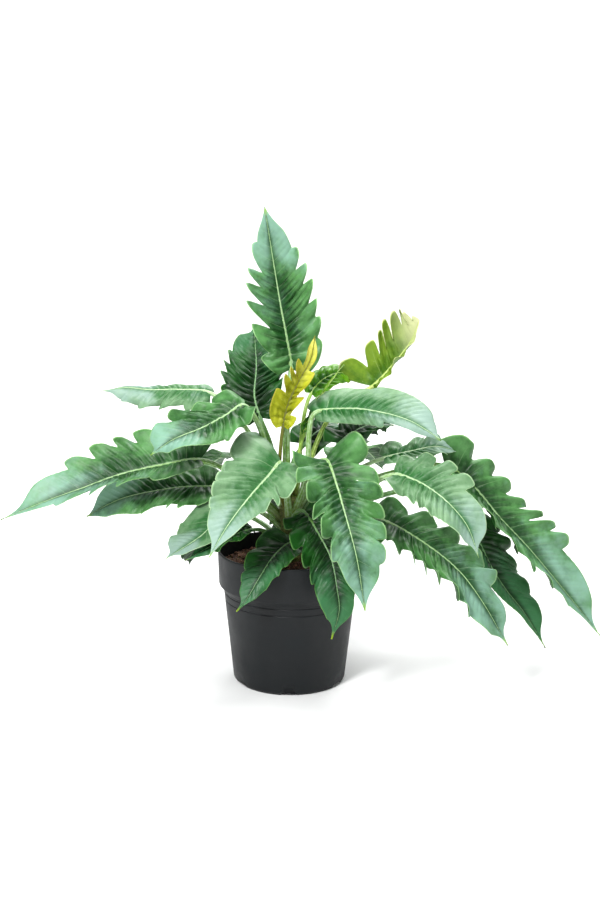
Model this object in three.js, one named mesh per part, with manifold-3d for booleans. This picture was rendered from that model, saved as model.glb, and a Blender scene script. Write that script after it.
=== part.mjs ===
// Potted philodendron with long toothed leaves, standing in a round nursery pot.
// Millimetres, +Z up. The origin is the centre of the pot's underside, and -Y is the front.

import * as THREE from 'three';
import { mergeVertices } from 'three/addons/utils/BufferGeometryUtils.js';
import { ParametricGeometry } from 'three/addons/geometries/ParametricGeometry.js';
import Module from 'manifold-3d';

const wasm = await Module();
wasm.setup();

// ---------------------------------------------------------------------------
// Driving dimensions
// ---------------------------------------------------------------------------

// Pot
const POT_HEIGHT = 250;
const POT_RIM_RADIUS = 135;
const POT_FOOT_RADIUS = 105;
const POT_WALL = 3;
const LIP_WIDTH = 4;
const LIP_HEIGHT = 4;
const COLLAR_HEIGHT = 64;
const COLLAR_STEP = 9;
const COLLAR_TAPER = 2;
const STEP_DROP = 10;
const GROOVE_DEPTH = 1.2;
const GROOVE_WIDTH = 3;
const GROOVE_DROPS = [78, 92];
const FLOOR_RAISE = 6;
const FOOT_RING_WIDTH = 7;
const CENTRE_PAD_RADIUS = 40;
const FOOT_CHAMFER = 3;
const FOOT_ROUNDING_HEIGHT = 5;
const EDGE_CHAMFER = 1;
const COLLAR_CHAMFER = 3;
const NOTCH_COUNT = 6;
const NOTCH_WIDTH = 30;
const DRAIN_COUNT = 8;
const DRAIN_RADIUS = 7;
const DRAIN_OUTWARD_SHIFT = 8;
const CUTTER_OVERRUN = 10;
const POT_SEGMENTS = 40;
const DRAIN_SEGMENTS = 12;

// Soil and stem
const SOIL_DROP = 20;
const SOIL_DOME = 8;
const SOIL_SHOULDER_SHARE = 0.8;
const SOIL_CROWN_SHARE = 0.5;
const STEM_RADIUS = 21;
const STEM_HEIGHT = 125;
const STEM_ROOT_DEPTH = 55;
const STEM_SEGMENTS = 20;
const STEM_TIP_SHARE = 0.78;
const STEM_TIP_DROP = 0.35;

// Leaves
const BLADE_THICKNESS = 3;
const BLADE_COLUMNS = 8;
const ROWS_PER_TOOTH = 2;
const WIDEST_SHIFT = 0.74;
const OUTLINE_FULLNESS = 0.72;
const EDGE_THINNING = 3;
const VEIN_LEAN_AT_BASE = -18;
const VEIN_LEAN_GAIN = 42;
const VEIN_LEAN_TO_TIP = 14;
const VEIN_LEAN_REACH = 0.2;
const STALK_SIDES = 7;
const STALK_STEPS = 9;
const STALK_UNDER_BLADE = 0.04;
const LINE_STEPS = 240;
const FIT_GAP = 0.3;

// The leaf tables are written for this pot rim and stem. Close to the stem, leaf points keep to the
// stem's top. Further out they spread and rise with the pot's rim.
const TABLE_RIM_RADIUS = 135;
const TABLE_STEM_HEIGHT = 125;
const TABLE_STEM_TOP = 105;
const SPREAD_FROM = 50;
const SPREAD_FULLY_AT = 150;

// Sizes that follow from the ones above.
const REACH = POT_RIM_RADIUS / TABLE_RIM_RADIUS;
const SOIL_TOP = POT_HEIGHT - SOIL_DROP;
const STEM_TOP = SOIL_TOP + STEM_HEIGHT;
const STEM_BOTTOM = SOIL_TOP - STEM_ROOT_DEPTH;

const group = new THREE.Group();
group.name = 'potted_philodendron';

// ---------------------------------------------------------------------------
// Materials
// ---------------------------------------------------------------------------

const POT_PLASTIC = { color: 0x2b3032, roughness: 0.62, metalness: 0 };
const SOIL_COIR = { color: 0x4a2f22, roughness: 0.95, metalness: 0 };
const STEM_GREEN = { color: 0x5d7a3c, roughness: 0.6, metalness: 0 };
const LEAF_GREEN = { color: 0x3f7a55, roughness: 0.42, metalness: 0 };
const LEAF_PALE = { color: 0x7fae98, roughness: 0.42, metalness: 0 };
const LEAF_DARK = { color: 0x24553a, roughness: 0.45, metalness: 0 };
const LEAF_BRIGHT = { color: 0x5c9a3e, roughness: 0.38, metalness: 0 };
const LEAF_YELLOW = { color: 0xb9b457, roughness: 0.5, metalness: 0 };
const SHEATH_BROWN = { color: 0x7a5636, roughness: 0.8, metalness: 0 };

function addPart(name, geometry, finish) {
  const part = new THREE.Mesh(geometry, new THREE.MeshStandardMaterial(finish));
  part.name = name;
  group.add(part);
  return part;
}

// ---------------------------------------------------------------------------
// Solids
// ---------------------------------------------------------------------------

// One closed mesh with shared corners: poles and seams are merged and flat triangles dropped.
function weld(geometry) {
  const bare = geometry.clone();
  bare.deleteAttribute('normal');
  bare.deleteAttribute('uv');
  const merged = mergeVertices(bare, 1e-4);
  const corners = merged.index.array;
  const kept = [];
  for (let i = 0; i < corners.length; i += 3) {
    const [a, b, c] = [corners[i], corners[i + 1], corners[i + 2]];
    if (a !== b && b !== c && c !== a) {
      kept.push(a, b, c);
    }
  }
  merged.setIndex(kept);
  return merged;
}

function toSolid(geometry) {
  const welded = weld(geometry);
  const vertProperties = new Float32Array(welded.attributes.position.array);
  const triVerts = new Uint32Array(welded.index.array);
  let solid = new wasm.Manifold(new wasm.Mesh({ numProp: 3, vertProperties, triVerts }));
  if (solid.volume() < 0) {
    for (let i = 0; i < triVerts.length; i += 3) {
      [triVerts[i + 1], triVerts[i + 2]] = [triVerts[i + 2], triVerts[i + 1]];
    }
    solid = new wasm.Manifold(new wasm.Mesh({ numProp: 3, vertProperties, triVerts }));
  }
  return solid;
}

function toGeometry(solid) {
  const mesh = solid.getMesh();
  const geometry = new THREE.BufferGeometry();
  geometry.setAttribute('position', new THREE.BufferAttribute(mesh.vertProperties, 3));
  geometry.setIndex(new THREE.BufferAttribute(mesh.triVerts, 1));
  geometry.computeVertexNormals();
  return geometry;
}

function lathe(profile, segments) {
  const points = profile.map(([radius, z]) => new THREE.Vector2(radius, z));
  const geometry = new THREE.LatheGeometry(points, segments);
  geometry.rotateX(Math.PI / 2);
  return geometry;
}

// ---------------------------------------------------------------------------
// Pot: a moulded cup with a stepped collar, two grooves, a notched foot ring and drain holes
// ---------------------------------------------------------------------------

function bodyRadiusAt(z) {
  const bodyTop = POT_HEIGHT - COLLAR_HEIGHT - STEP_DROP;
  const bodyTopRadius = POT_RIM_RADIUS - COLLAR_TAPER - COLLAR_STEP;
  return POT_FOOT_RADIUS + ((bodyTopRadius - POT_FOOT_RADIUS) * z) / bodyTop;
}

function groovePoints(drop) {
  const z = POT_HEIGHT - drop;
  const half = GROOVE_WIDTH / 2;
  return [
    [bodyRadiusAt(z - half), z - half],
    [bodyRadiusAt(z) - GROOVE_DEPTH, z],
    [bodyRadiusAt(z + half), z + half],
  ];
}

function potProfile() {
  const collarBottom = POT_HEIGHT - COLLAR_HEIGHT;
  const stepBottom = collarBottom - STEP_DROP;
  const collarFoot = POT_RIM_RADIUS - COLLAR_TAPER;
  const grooves = GROOVE_DROPS.slice().reverse().flatMap(groovePoints);
  const innerStepTop = collarFoot - POT_WALL;
  return [
    [0, 0],
    [CENTRE_PAD_RADIUS, 0],
    [CENTRE_PAD_RADIUS + FOOT_CHAMFER, FLOOR_RAISE],
    [POT_FOOT_RADIUS - FOOT_RING_WIDTH - FOOT_CHAMFER, FLOOR_RAISE],
    [POT_FOOT_RADIUS - FOOT_RING_WIDTH, 0],
    [POT_FOOT_RADIUS - FOOT_CHAMFER, 0],
    [bodyRadiusAt(FOOT_ROUNDING_HEIGHT), FOOT_ROUNDING_HEIGHT],
    ...grooves,
    [bodyRadiusAt(stepBottom), stepBottom],
    [collarFoot - EDGE_CHAMFER, collarBottom],
    [collarFoot, collarBottom + COLLAR_CHAMFER],
    [POT_RIM_RADIUS, POT_HEIGHT - LIP_HEIGHT],
    [POT_RIM_RADIUS, POT_HEIGHT - EDGE_CHAMFER],
    [POT_RIM_RADIUS - EDGE_CHAMFER, POT_HEIGHT],
    [POT_RIM_RADIUS - LIP_WIDTH, POT_HEIGHT],
    [innerStepTop, collarBottom],
    [bodyRadiusAt(stepBottom) - POT_WALL, stepBottom],
    [bodyRadiusAt(FLOOR_RAISE) - POT_WALL, FLOOR_RAISE + POT_WALL],
    [0, FLOOR_RAISE + POT_WALL],
  ];
}

function notchCutter(angle) {
  const outline = new THREE.Shape();
  outline.moveTo(-NOTCH_WIDTH / 2, -EDGE_CHAMFER);
  outline.lineTo(NOTCH_WIDTH / 2, -EDGE_CHAMFER);
  outline.lineTo(NOTCH_WIDTH / 2 - FLOOR_RAISE / 2, FLOOR_RAISE);
  outline.lineTo(-NOTCH_WIDTH / 2 + FLOOR_RAISE / 2, FLOOR_RAISE);
  const reach = FOOT_RING_WIDTH + CUTTER_OVERRUN;
  const cutter = new THREE.ExtrudeGeometry(outline, { depth: reach, bevelEnabled: false });
  cutter.rotateX(Math.PI / 2);
  cutter.translate(0, FOOT_RING_WIDTH + CUTTER_OVERRUN / 2 - POT_FOOT_RADIUS, 0);
  cutter.rotateZ(angle);
  return toSolid(cutter);
}

function drainCutter(angle) {
  const ringMiddle = (CENTRE_PAD_RADIUS + POT_FOOT_RADIUS - FOOT_RING_WIDTH) / 2;
  const middle = ringMiddle + DRAIN_OUTWARD_SHIFT;
  const depth = (FLOOR_RAISE + POT_WALL + CUTTER_OVERRUN) * 2;
  const cutter = new THREE.CylinderGeometry(DRAIN_RADIUS, DRAIN_RADIUS, depth, DRAIN_SEGMENTS);
  cutter.rotateX(Math.PI / 2);
  cutter.translate(middle * Math.cos(angle), middle * Math.sin(angle), FLOOR_RAISE);
  return toSolid(cutter);
}

function buildPot() {
  let pot = toSolid(lathe(potProfile(), POT_SEGMENTS));
  for (let i = 0; i < NOTCH_COUNT; i += 1) {
    pot = pot.subtract(notchCutter((i * 2 * Math.PI) / NOTCH_COUNT));
  }
  for (let i = 0; i < DRAIN_COUNT; i += 1) {
    pot = pot.subtract(drainCutter(((i + 0.5) * 2 * Math.PI) / DRAIN_COUNT));
  }
  return toGeometry(pot);
}

addPart('pot', buildPot(), POT_PLASTIC);

// ---------------------------------------------------------------------------
// Soil: fills the pot to a little under the rim, with a socket for the stem
// ---------------------------------------------------------------------------

function innerRadiusAt(z) {
  const collarBottom = POT_HEIGHT - COLLAR_HEIGHT;
  const stepBottom = collarBottom - STEP_DROP;
  const low = bodyRadiusAt(z) - POT_WALL;
  if (z <= stepBottom) {
    return low;
  }
  const collarInner = POT_RIM_RADIUS - COLLAR_TAPER - POT_WALL;
  const top = POT_RIM_RADIUS - LIP_WIDTH;
  if (z <= collarBottom) {
    const share = (z - stepBottom) / STEP_DROP;
    return THREE.MathUtils.lerp(bodyRadiusAt(stepBottom) - POT_WALL, collarInner, share);
  }
  return THREE.MathUtils.lerp(collarInner, top, (z - collarBottom) / COLLAR_HEIGHT);
}

function soilProfile() {
  const gap = FIT_GAP * 2;
  const bottom = FLOOR_RAISE + POT_WALL + FIT_GAP;
  const collarBottom = POT_HEIGHT - COLLAR_HEIGHT;
  const stepBottom = collarBottom - STEP_DROP;
  const hole = STEM_RADIUS + FIT_GAP;
  return [
    [0, bottom],
    [bodyRadiusAt(FLOOR_RAISE) - POT_WALL - gap, bottom],
    [innerRadiusAt(stepBottom) - gap, stepBottom - gap],
    [innerRadiusAt(collarBottom) - gap, collarBottom],
    [innerRadiusAt(SOIL_TOP) - gap, SOIL_TOP - SOIL_DOME],
    [innerRadiusAt(SOIL_TOP) * SOIL_SHOULDER_SHARE, SOIL_TOP - SOIL_DOME / 3],
    [innerRadiusAt(SOIL_TOP) * SOIL_CROWN_SHARE, SOIL_TOP],
    [hole, SOIL_TOP],
    [hole, STEM_BOTTOM - FIT_GAP],
    [0, STEM_BOTTOM - FIT_GAP],
  ];
}

addPart('soil', toGeometry(toSolid(lathe(soilProfile(), POT_SEGMENTS))), SOIL_COIR);

// ---------------------------------------------------------------------------
// Stem: the short upright trunk that every leaf stalk leaves
// ---------------------------------------------------------------------------

function stemProfile(extra) {
  const radius = STEM_RADIUS + extra;
  return [
    [0, STEM_BOTTOM - extra],
    [radius, STEM_BOTTOM - extra],
    [radius, STEM_TOP - STEM_RADIUS],
    [radius * STEM_TIP_SHARE, STEM_TOP - STEM_RADIUS * STEM_TIP_DROP + extra],
    [0, STEM_TOP + extra],
  ];
}

addPart('stem', toGeometry(toSolid(lathe(stemProfile(0), STEM_SEGMENTS))), STEM_GREEN);
const stemClearance = toSolid(lathe(stemProfile(FIT_GAP), STEM_SEGMENTS));

// ---------------------------------------------------------------------------
// Leaves: a round stalk that ends in a thin, folded blade with teeth along both edges
// ---------------------------------------------------------------------------

// A leaf point: close to the stem it goes up and down with the stem's top, and further out it
// spreads and rises with the pot's rim, which the low leaves drape over.
function leafPoint([x, y, z]) {
  const far = THREE.MathUtils.smoothstep(Math.hypot(x, y), SPREAD_FROM, SPREAD_FULLY_AT);
  const spread = THREE.MathUtils.lerp(1, REACH, far);
  const level = THREE.MathUtils.lerp(STEM_TOP - TABLE_STEM_TOP, POT_HEIGHT, far);
  return new THREE.Vector3(x * spread, y * spread, level + z);
}

// Half-width of a blade along its rib, from 0 at the stalk to 0 at the tip, widest at two fifths.
function bladeOutline(along) {
  const swell = Math.sin(Math.PI * Math.pow(along, WIDEST_SHIFT));
  return Math.pow(Math.max(swell, 0), OUTLINE_FULLNESS);
}

// Teeth: 1 at a tooth's point and 1 - depth in the notch behind it.
function toothShare(along, teeth, depth) {
  const phase = along * teeth;
  const saw = Math.abs((phase - Math.floor(phase)) * 2 - 1);
  return 1 - depth * saw;
}

// How far out and up an arc of length 1 reaches when it starts at one angle and turns by another.
function arcShares(start, turn) {
  if (Math.abs(turn) < 1e-3) {
    return [Math.cos(start), Math.sin(start)];
  }
  const out = (Math.sin(start + turn) - Math.sin(start)) / turn;
  const up = (Math.cos(start) - Math.cos(start + turn)) / turn;
  return [out, up];
}

// One smooth line from inside the stem, along the stalk and the rib, to the leaf's tip.
function leafLine(leaf) {
  const [offsetX, offsetY] = leaf.offset ?? [0, 0];
  const start = new THREE.Vector3(offsetX, offsetY, STEM_TOP - TABLE_STEM_HEIGHT + leaf.node);
  const stalk = leaf.stalk.map(leafPoint);
  const line = new THREE.CatmullRomCurve3([start, ...stalk, ...leaf.rib.map(leafPoint)]);
  const lengths = line.getLengths(LINE_STEPS);
  const ribIndex = Math.round((LINE_STEPS * (stalk.length + 1)) / (line.points.length - 1));
  line.arcLengthDivisions = LINE_STEPS;
  line.ribStart = lengths[ribIndex] / lengths[LINE_STEPS];
  return line;
}

// The side veins leave the rib squarely at the base and lean further forward towards the tip.
function veinLean(along) {
  const opening = THREE.MathUtils.smoothstep(along, 0, VEIN_LEAN_REACH);
  const degrees = VEIN_LEAN_AT_BASE + VEIN_LEAN_GAIN * opening + VEIN_LEAN_TO_TIP * along;
  return THREE.MathUtils.degToRad(degrees);
}

function bladeSurface(leaf, line) {
  const faceStart = new THREE.Vector3(...leaf.face[0]).normalize();
  const faceEnd = new THREE.Vector3(...leaf.face[1]).normalize();
  const fold = THREE.MathUtils.degToRad(leaf.fold);
  return (across, along, target) => {
    const share = line.ribStart + (1 - line.ribStart) * along;
    const centre = line.getPointAt(Math.min(share, 1));
    const tangent = line.getTangentAt(Math.min(share, 1));
    const face = faceStart.clone().lerp(faceEnd, along);
    face.addScaledVector(tangent, -face.dot(tangent)).normalize();
    const side = new THREE.Vector3().crossVectors(tangent, face);
    const upper = across < 0.5;
    const t = upper ? across * 4 - 1 : 3 - across * 4;
    const spread = Math.abs(t);
    const edge = t < 0 ? leaf.halfWidth[0] : leaf.halfWidth[1];
    const teeth = THREE.MathUtils.lerp(1, toothShare(along, leaf.teeth, leaf.notch), spread);
    const reach = edge * bladeOutline(along) * teeth * spread;
    const lean = veinLean(along);
    const lens = (BLADE_THICKNESS / 2) * Math.sqrt(Math.max(1 - t * t, 0));
    const narrow = Math.min(1, bladeOutline(along) * EDGE_THINNING);
    const bend = leaf.curl * spread;
    const [outShare, upShare] = arcShares(fold, bend);
    target.copy(centre);
    target.addScaledVector(side, Math.sign(t) * reach * Math.cos(lean) * outShare);
    target.addScaledVector(tangent, reach * Math.sin(lean));
    target.addScaledVector(face, reach * upShare);
    target.addScaledVector(face, (upper ? 1 : -1) * lens * narrow);
  };
}

function stalkSection(radius, sides) {
  const outline = new THREE.Shape();
  for (let i = 0; i < sides; i += 1) {
    const angle = (i * 2 * Math.PI) / sides;
    const [x, y] = [radius * Math.cos(angle), radius * Math.sin(angle)];
    if (i === 0) {
      outline.moveTo(x, y);
    } else {
      outline.lineTo(x, y);
    }
  }
  return outline;
}

// The stalk runs from inside the stem to a little way under the blade.
class StalkPath extends THREE.Curve {
  constructor(line) {
    super();
    this.line = line;
    this.end = Math.min(line.ribStart + STALK_UNDER_BLADE, 1);
  }

  getPoint(share, target = new THREE.Vector3()) {
    return this.line.getPointAt(share * this.end, target);
  }
}

function stalkSolid(leaf, line) {
  const section = stalkSection(leaf.stalkRadius, STALK_SIDES);
  const extrudePath = new StalkPath(line);
  const options = { steps: STALK_STEPS, extrudePath, bevelEnabled: false };
  return toSolid(new THREE.ExtrudeGeometry(section, options)).subtract(stemClearance);
}

function buildLeaf(leaf) {
  const line = leafLine(leaf);
  const rows = leaf.teeth * ROWS_PER_TOOTH;
  const blade = new ParametricGeometry(bladeSurface(leaf, line), BLADE_COLUMNS, rows);
  return toGeometry(toSolid(blade).add(stalkSolid(leaf, line)));
}

// Each leaf: the height above the soil where its stalk leaves the stem, the points of its stalk
// and rib, the way its upper face looks at both ends, its two half-widths, how far its halves
// fold up and then curl, and its teeth.
const LEAVES = [
  {
    name: 'leaf_top', finish: LEAF_GREEN, node: 118, offset: [-7, -4], stalkRadius: 7,
    stalk: [[-8, -5, 180], [-8, -4, 265]],
    rib: [[0, 10, 340], [-8, 16, 390], [-20, 22, 450], [-32, 22, 520], [-50, 15, 630]],
    face: [[0.1, -1, 0.1], [0, -1, 0.1]],
    halfWidth: [66, 76], fold: 12, curl: -0.2, teeth: 8, notch: 0.34,
  },
  {
    name: 'leaf_back_left_upright', finish: LEAF_DARK, node: 84, stalkRadius: 6,
    stalk: [[-22, 26, 118], [-38, 34, 190]],
    rib: [[-58, 50, 240], [-70, 85, 275], [-68, 130, 325], [-75, 185, 395]],
    face: [[0.1, -0.8, 0.6], [0, -0.85, 0.5]],
    halfWidth: [72, 74], fold: 10, curl: -0.2, teeth: 6, notch: 0.2,
  },
  {
    name: 'leaf_left_curled', finish: LEAF_PALE, node: 78, stalkRadius: 5,
    stalk: [[-32, 12, 112], [-58, 20, 185], [-105, 30, 250]],
    rib: [[-150, 32, 290], [-207, 45, 293], [-264, 52, 291], [-311, 55, 294], [-355, 50, 288]],
    face: [[-0.1, -0.5, 0.85], [0, -0.5, 0.85]],
    halfWidth: [52, 40], fold: 0, curl: -1.0, teeth: 5, notch: 0.2,
  },
  {
    name: 'leaf_left_middle', finish: LEAF_GREEN, node: 86, stalkRadius: 6,
    stalk: [[-34, -8, 122], [-46, -14, 200], [-64, -18, 250]],
    rib: [
      [-85, -25, 278], [-120, -55, 262], [-160, -82, 245],
      [-205, -105, 230], [-245, -125, 205],
    ],
    face: [[-0.1, -0.55, 0.8], [-0.3, -0.6, 0.7]],
    halfWidth: [58, 74], fold: 10, curl: -0.4, teeth: 6, notch: 0.25,
  },
  {
    name: 'leaf_left_long', finish: LEAF_GREEN, node: 64, stalkRadius: 6,
    stalk: [[-65, -5, 110], [-115, -10, 150]],
    rib: [
      [-165, -10, 172], [-230, -20, 165], [-310, -30, 148],
      [-385, -42, 122], [-435, -50, 105], [-525, -65, 70],
    ],
    face: [[0, -0.6, 0.8], [-0.1, -0.6, 0.8]],
    halfWidth: [46, 80], fold: 18, curl: -0.2, teeth: 9, notch: 0.36,
  },
  {
    name: 'leaf_left_lower', finish: LEAF_DARK, node: 48, stalkRadius: 5.5,
    stalk: [[-50, 20, 78], [-95, 26, 102]],
    rib: [[-135, 25, 112], [-190, 22, 113], [-240, 16, 108], [-315, 8, 92], [-380, 0, 60]],
    face: [[0, -0.55, 0.8], [-0.1, -0.55, 0.8]],
    halfWidth: [58, 64], fold: 5, curl: -0.2, teeth: 6, notch: 0.18,
  },
  {
    name: 'leaf_front_left_big', finish: LEAF_PALE, node: 60, stalkRadius: 7,
    stalk: [[-6, -34, 112], [-10, -44, 145]],
    rib: [
      [-16, -60, 180], [-40, -100, 162], [-65, -140, 142],
      [-90, -180, 118], [-112, -215, 92], [-135, -245, 55],
    ],
    face: [[0, -0.7, 0.75], [-0.3, -0.8, 0.6]],
    halfWidth: [66, 82], fold: 8, curl: -0.3, teeth: 7, notch: 0.3,
  },
  {
    name: 'leaf_left_low', finish: LEAF_PALE, node: 45, stalkRadius: 5,
    stalk: [[-50, -15, 72]],
    rib: [[-100, -30, 95], [-130, -50, 72], [-160, -70, 45], [-225, -90, 5]],
    face: [[-0.4, -0.5, 0.8], [-0.5, -0.6, 0.7]],
    halfWidth: [44, 68], fold: 5, curl: -0.3, teeth: 4, notch: 0.15,
  },
  {
    name: 'leaf_left_low_dark', finish: LEAF_DARK, node: 24, stalkRadius: 4.5,
    stalk: [[-38, -26, 38]],
    rib: [[-70, -45, 50], [-100, -60, 44], [-145, -80, 26], [-190, -90, 2]],
    face: [[-0.3, -0.5, 0.8], [-0.4, -0.5, 0.8]],
    halfWidth: [26, 26], fold: 5, curl: -0.2, teeth: 4, notch: 0.1,
  },
  {
    name: 'leaf_front_low', finish: LEAF_DARK, node: 22, stalkRadius: 5,
    stalk: [[0, -40, 34]],
    rib: [
      [10, -70, 38], [-8, -92, 34], [-30, -122, 20],
      [-52, -150, -8], [-75, -165, -45], [-92, -170, -66],
    ],
    face: [[-0.2, -0.7, 0.7], [-0.4, -0.85, 0.3]],
    halfWidth: [40, 48], fold: 6, curl: -0.2, teeth: 4, notch: 0.12,
  },
  {
    name: 'leaf_front_middle', finish: LEAF_DARK, node: 50, stalkRadius: 5.5,
    stalk: [[8, -35, 75]],
    rib: [
      [25, -75, 92], [52, -118, 62], [74, -150, 25],
      [84, -178, -20], [88, -190, -55], [75, -198, -105],
    ],
    face: [[-0.1, -0.75, 0.65], [0.1, -1, 0.3]],
    halfWidth: [52, 60], fold: 8, curl: -0.2, teeth: 6, notch: 0.22,
  },
  {
    name: 'leaf_front_centre', finish: LEAF_GREEN, node: 74, stalkRadius: 6,
    stalk: [[20, -30, 116], [32, -42, 160]],
    rib: [
      [62, -70, 188], [82, -130, 155], [95, -175, 118],
      [106, -208, 85], [116, -230, 48], [130, -250, -35],
    ],
    face: [[0, -0.6, 0.8], [0.2, -0.95, 0.4]],
    halfWidth: [72, 70], fold: 8, curl: -0.24, teeth: 8, notch: 0.36,
  },
  {
    name: 'leaf_right_blue', finish: LEAF_PALE, node: 48, stalkRadius: 6,
    stalk: [[60, -30, 112], [140, -75, 142]],
    rib: [
      [185, -105, 170], [220, -130, 165], [246, -155, 155],
      [275, -180, 136], [305, -200, 102], [325, -215, 50],
    ],
    face: [[0, -0.6, 0.8], [0.2, -0.8, 0.6]],
    halfWidth: [68, 58], fold: 8, curl: -0.3, teeth: 7, notch: 0.25,
  },
  {
    name: 'leaf_right_top_pale', finish: LEAF_PALE, node: 84, stalkRadius: 6,
    stalk: [[31, -14, 116], [32, -16, 170], [34, -16, 230]],
    rib: [[42, -18, 262], [100, -38, 275], [150, -60, 275], [210, -90, 264], [265, -115, 235]],
    face: [[0, -0.75, 0.65], [0.1, -0.75, 0.65]],
    halfWidth: [74, 34], fold: 0, curl: -0.6, teeth: 7, notch: 0.15,
  },
  {
    name: 'leaf_right_back', finish: LEAF_PALE, node: 50, stalkRadius: 5,
    stalk: [[70, 20, 122], [135, 32, 152]],
    rib: [[175, 40, 168], [225, 52, 178], [275, 64, 185], [320, 75, 172]],
    face: [[0, -0.5, 0.85], [0.2, -0.5, 0.85]],
    halfWidth: [34, 34], fold: 8, curl: -0.2, teeth: 4, notch: 0.2,
  },
  {
    name: 'leaf_right_far', finish: LEAF_GREEN, node: 44, stalkRadius: 6,
    stalk: [[78, 36, 92], [190, 50, 136]],
    rib: [
      [290, 60, 150], [345, 60, 110], [400, 50, 48],
      [455, 40, -8], [528, 25, -92], [595, 10, -172],
    ],
    face: [[0.3, -0.6, 0.75], [0.75, -0.6, 0.35]],
    halfWidth: [76, 62], fold: 24, curl: -0.2, teeth: 9, notch: 0.34,
  },
  {
    name: 'leaf_right_long_dark', finish: LEAF_DARK, node: 36, stalkRadius: 5.5,
    stalk: [[80, 6, 66], [205, 15, 110]],
    rib: [
      [285, 20, 112], [345, 10, 32], [380, 0, -35],
      [405, -10, -72], [438, -18, -112], [482, -30, -180],
    ],
    face: [[0.4, -0.5, 0.75], [0.8, -0.5, 0.4]],
    halfWidth: [74, 48], fold: 10, curl: -0.2, teeth: 7, notch: 0.22,
  },
  {
    name: 'leaf_right_long_ruffled', finish: LEAF_GREEN, node: 30, stalkRadius: 6,
    stalk: [[58, -26, 58], [112, -44, 78]],
    rib: [
      [155, -60, 78], [198, -80, 65], [268, -108, 25],
      [308, -122, -8], [345, -140, -55], [390, -155, -130],
    ],
    face: [[0.2, -0.6, 0.8], [0.7, -0.7, 0.4]],
    halfWidth: [70, 70], fold: 10, curl: -0.2, teeth: 8, notch: 0.26,
  },
  {
    name: 'leaf_glossy', finish: LEAF_BRIGHT, node: 88, stalkRadius: 4.5,
    stalk: [[14, 30, 122], [18, 34, 190], [26, 44, 255]],
    rib: [[37, 58, 286], [55, 64, 308], [83, 76, 321], [118, 96, 317]],
    face: [[-0.1, -0.8, 0.6], [0, -0.8, 0.6]],
    halfWidth: [30, 26], fold: 5, curl: -0.6, teeth: 4, notch: 0.1,
  },
  {
    name: 'leaf_unfurling', finish: LEAF_BRIGHT, node: 82, stalkRadius: 5,
    stalk: [[30, 24, 112], [42, 30, 180], [88, 58, 262]],
    rib: [[152, 85, 296], [178, 88, 322], [202, 94, 350], [226, 98, 384], [238, 92, 421]],
    face: [[-0.6, -0.7, 0.3], [-0.5, -0.8, 0.2]],
    halfWidth: [56, 14], fold: 25, curl: 0.4, teeth: 4, notch: 0.2,
  },
  {
    name: 'leaf_centre_right', finish: LEAF_DARK, node: 70, stalkRadius: 5,
    stalk: [[36, 0, 104], [62, -8, 150]],
    rib: [[97, -15, 205], [122, 20, 224], [158, 60, 228], [196, 105, 217]],
    face: [[-0.2, -0.8, 0.6], [0.1, -0.4, 0.9]],
    halfWidth: [46, 40], fold: 18, curl: -0.5, teeth: 5, notch: 0.2,
  },
  {
    name: 'leaf_centre_dark', finish: LEAF_DARK, node: 80, stalkRadius: 5,
    stalk: [[0, 34, 116], [6, 48, 160]],
    rib: [[26, 56, 190], [44, 66, 207], [66, 96, 215], [90, 140, 213]],
    face: [[0, -0.6, 0.8], [0.1, -0.4, 0.9]],
    halfWidth: [40, 40], fold: 8, curl: -0.2, teeth: 5, notch: 0.2,
  },
  {
    name: 'leaf_young_yellow', finish: LEAF_YELLOW, node: 84, stalkRadius: 4,
    stalk: [[-20, -28, 122], [-20, -26, 175]],
    rib: [[-14, -24, 240], [-4, -27, 284], [16, -30, 327], [35, -28, 363], [42, -24, 404]],
    face: [[-0.1, -1, 0.1], [0, -1, 0.1]],
    halfWidth: [34, 30], fold: 10, curl: 0.6, teeth: 4, notch: 0.45,
  },
  {
    name: 'leaf_spear', finish: LEAF_BRIGHT, node: 120, offset: [9, 5], stalkRadius: 4,
    stalk: [[10, 7, 122], [13, 8, 165]],
    rib: [[22, 6, 215], [36, 12, 255], [55, 20, 290], [76, 24, 320], [96, 28, 345]],
    face: [[-0.6, -0.7, 0.3], [-0.6, -0.7, 0.3]],
    halfWidth: [6, 6], fold: 0, curl: 0, teeth: 3, notch: 0,
  },
  {
    name: 'leaf_rear_right_high', finish: LEAF_GREEN, node: 76, stalkRadius: 6,
    stalk: [[38, 48, 100], [70, 95, 140]],
    rib: [[92, 135, 150], [125, 190, 152], [155, 240, 135], [190, 300, 85]],
    face: [[0.1, 0.2, 1], [0.3, 0.6, 0.8]],
    halfWidth: [54, 54], fold: 10, curl: -0.3, teeth: 7, notch: 0.3,
  },
  {
    name: 'leaf_rear_left_high', finish: LEAF_GREEN, node: 66, stalkRadius: 6,
    stalk: [[-28, 50, 92], [-55, 100, 130]],
    rib: [[-75, 140, 140], [-110, 190, 138], [-150, 240, 118], [-195, 300, 62]],
    face: [[-0.1, 0.2, 1], [-0.3, 0.6, 0.8]],
    halfWidth: [54, 54], fold: 10, curl: -0.3, teeth: 7, notch: 0.3,
  },
  {
    name: 'leaf_rear_middle', finish: LEAF_DARK, node: 40, stalkRadius: 6,
    stalk: [[5, 60, 62], [8, 105, 72]],
    rib: [[10, 145, 60], [8, 185, 35], [4, 225, -10], [0, 265, -85]],
    face: [[0, 0.5, 0.85], [0, 0.9, 0.4]],
    halfWidth: [50, 50], fold: 8, curl: -0.3, teeth: 6, notch: 0.28,
  },
  {
    name: 'leaf_rear_right_low', finish: LEAF_DARK, node: 28, stalkRadius: 5,
    stalk: [[42, 48, 42], [74, 84, 55]],
    rib: [[98, 118, 45], [115, 150, 18], [128, 182, -25], [138, 218, -88]],
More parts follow.
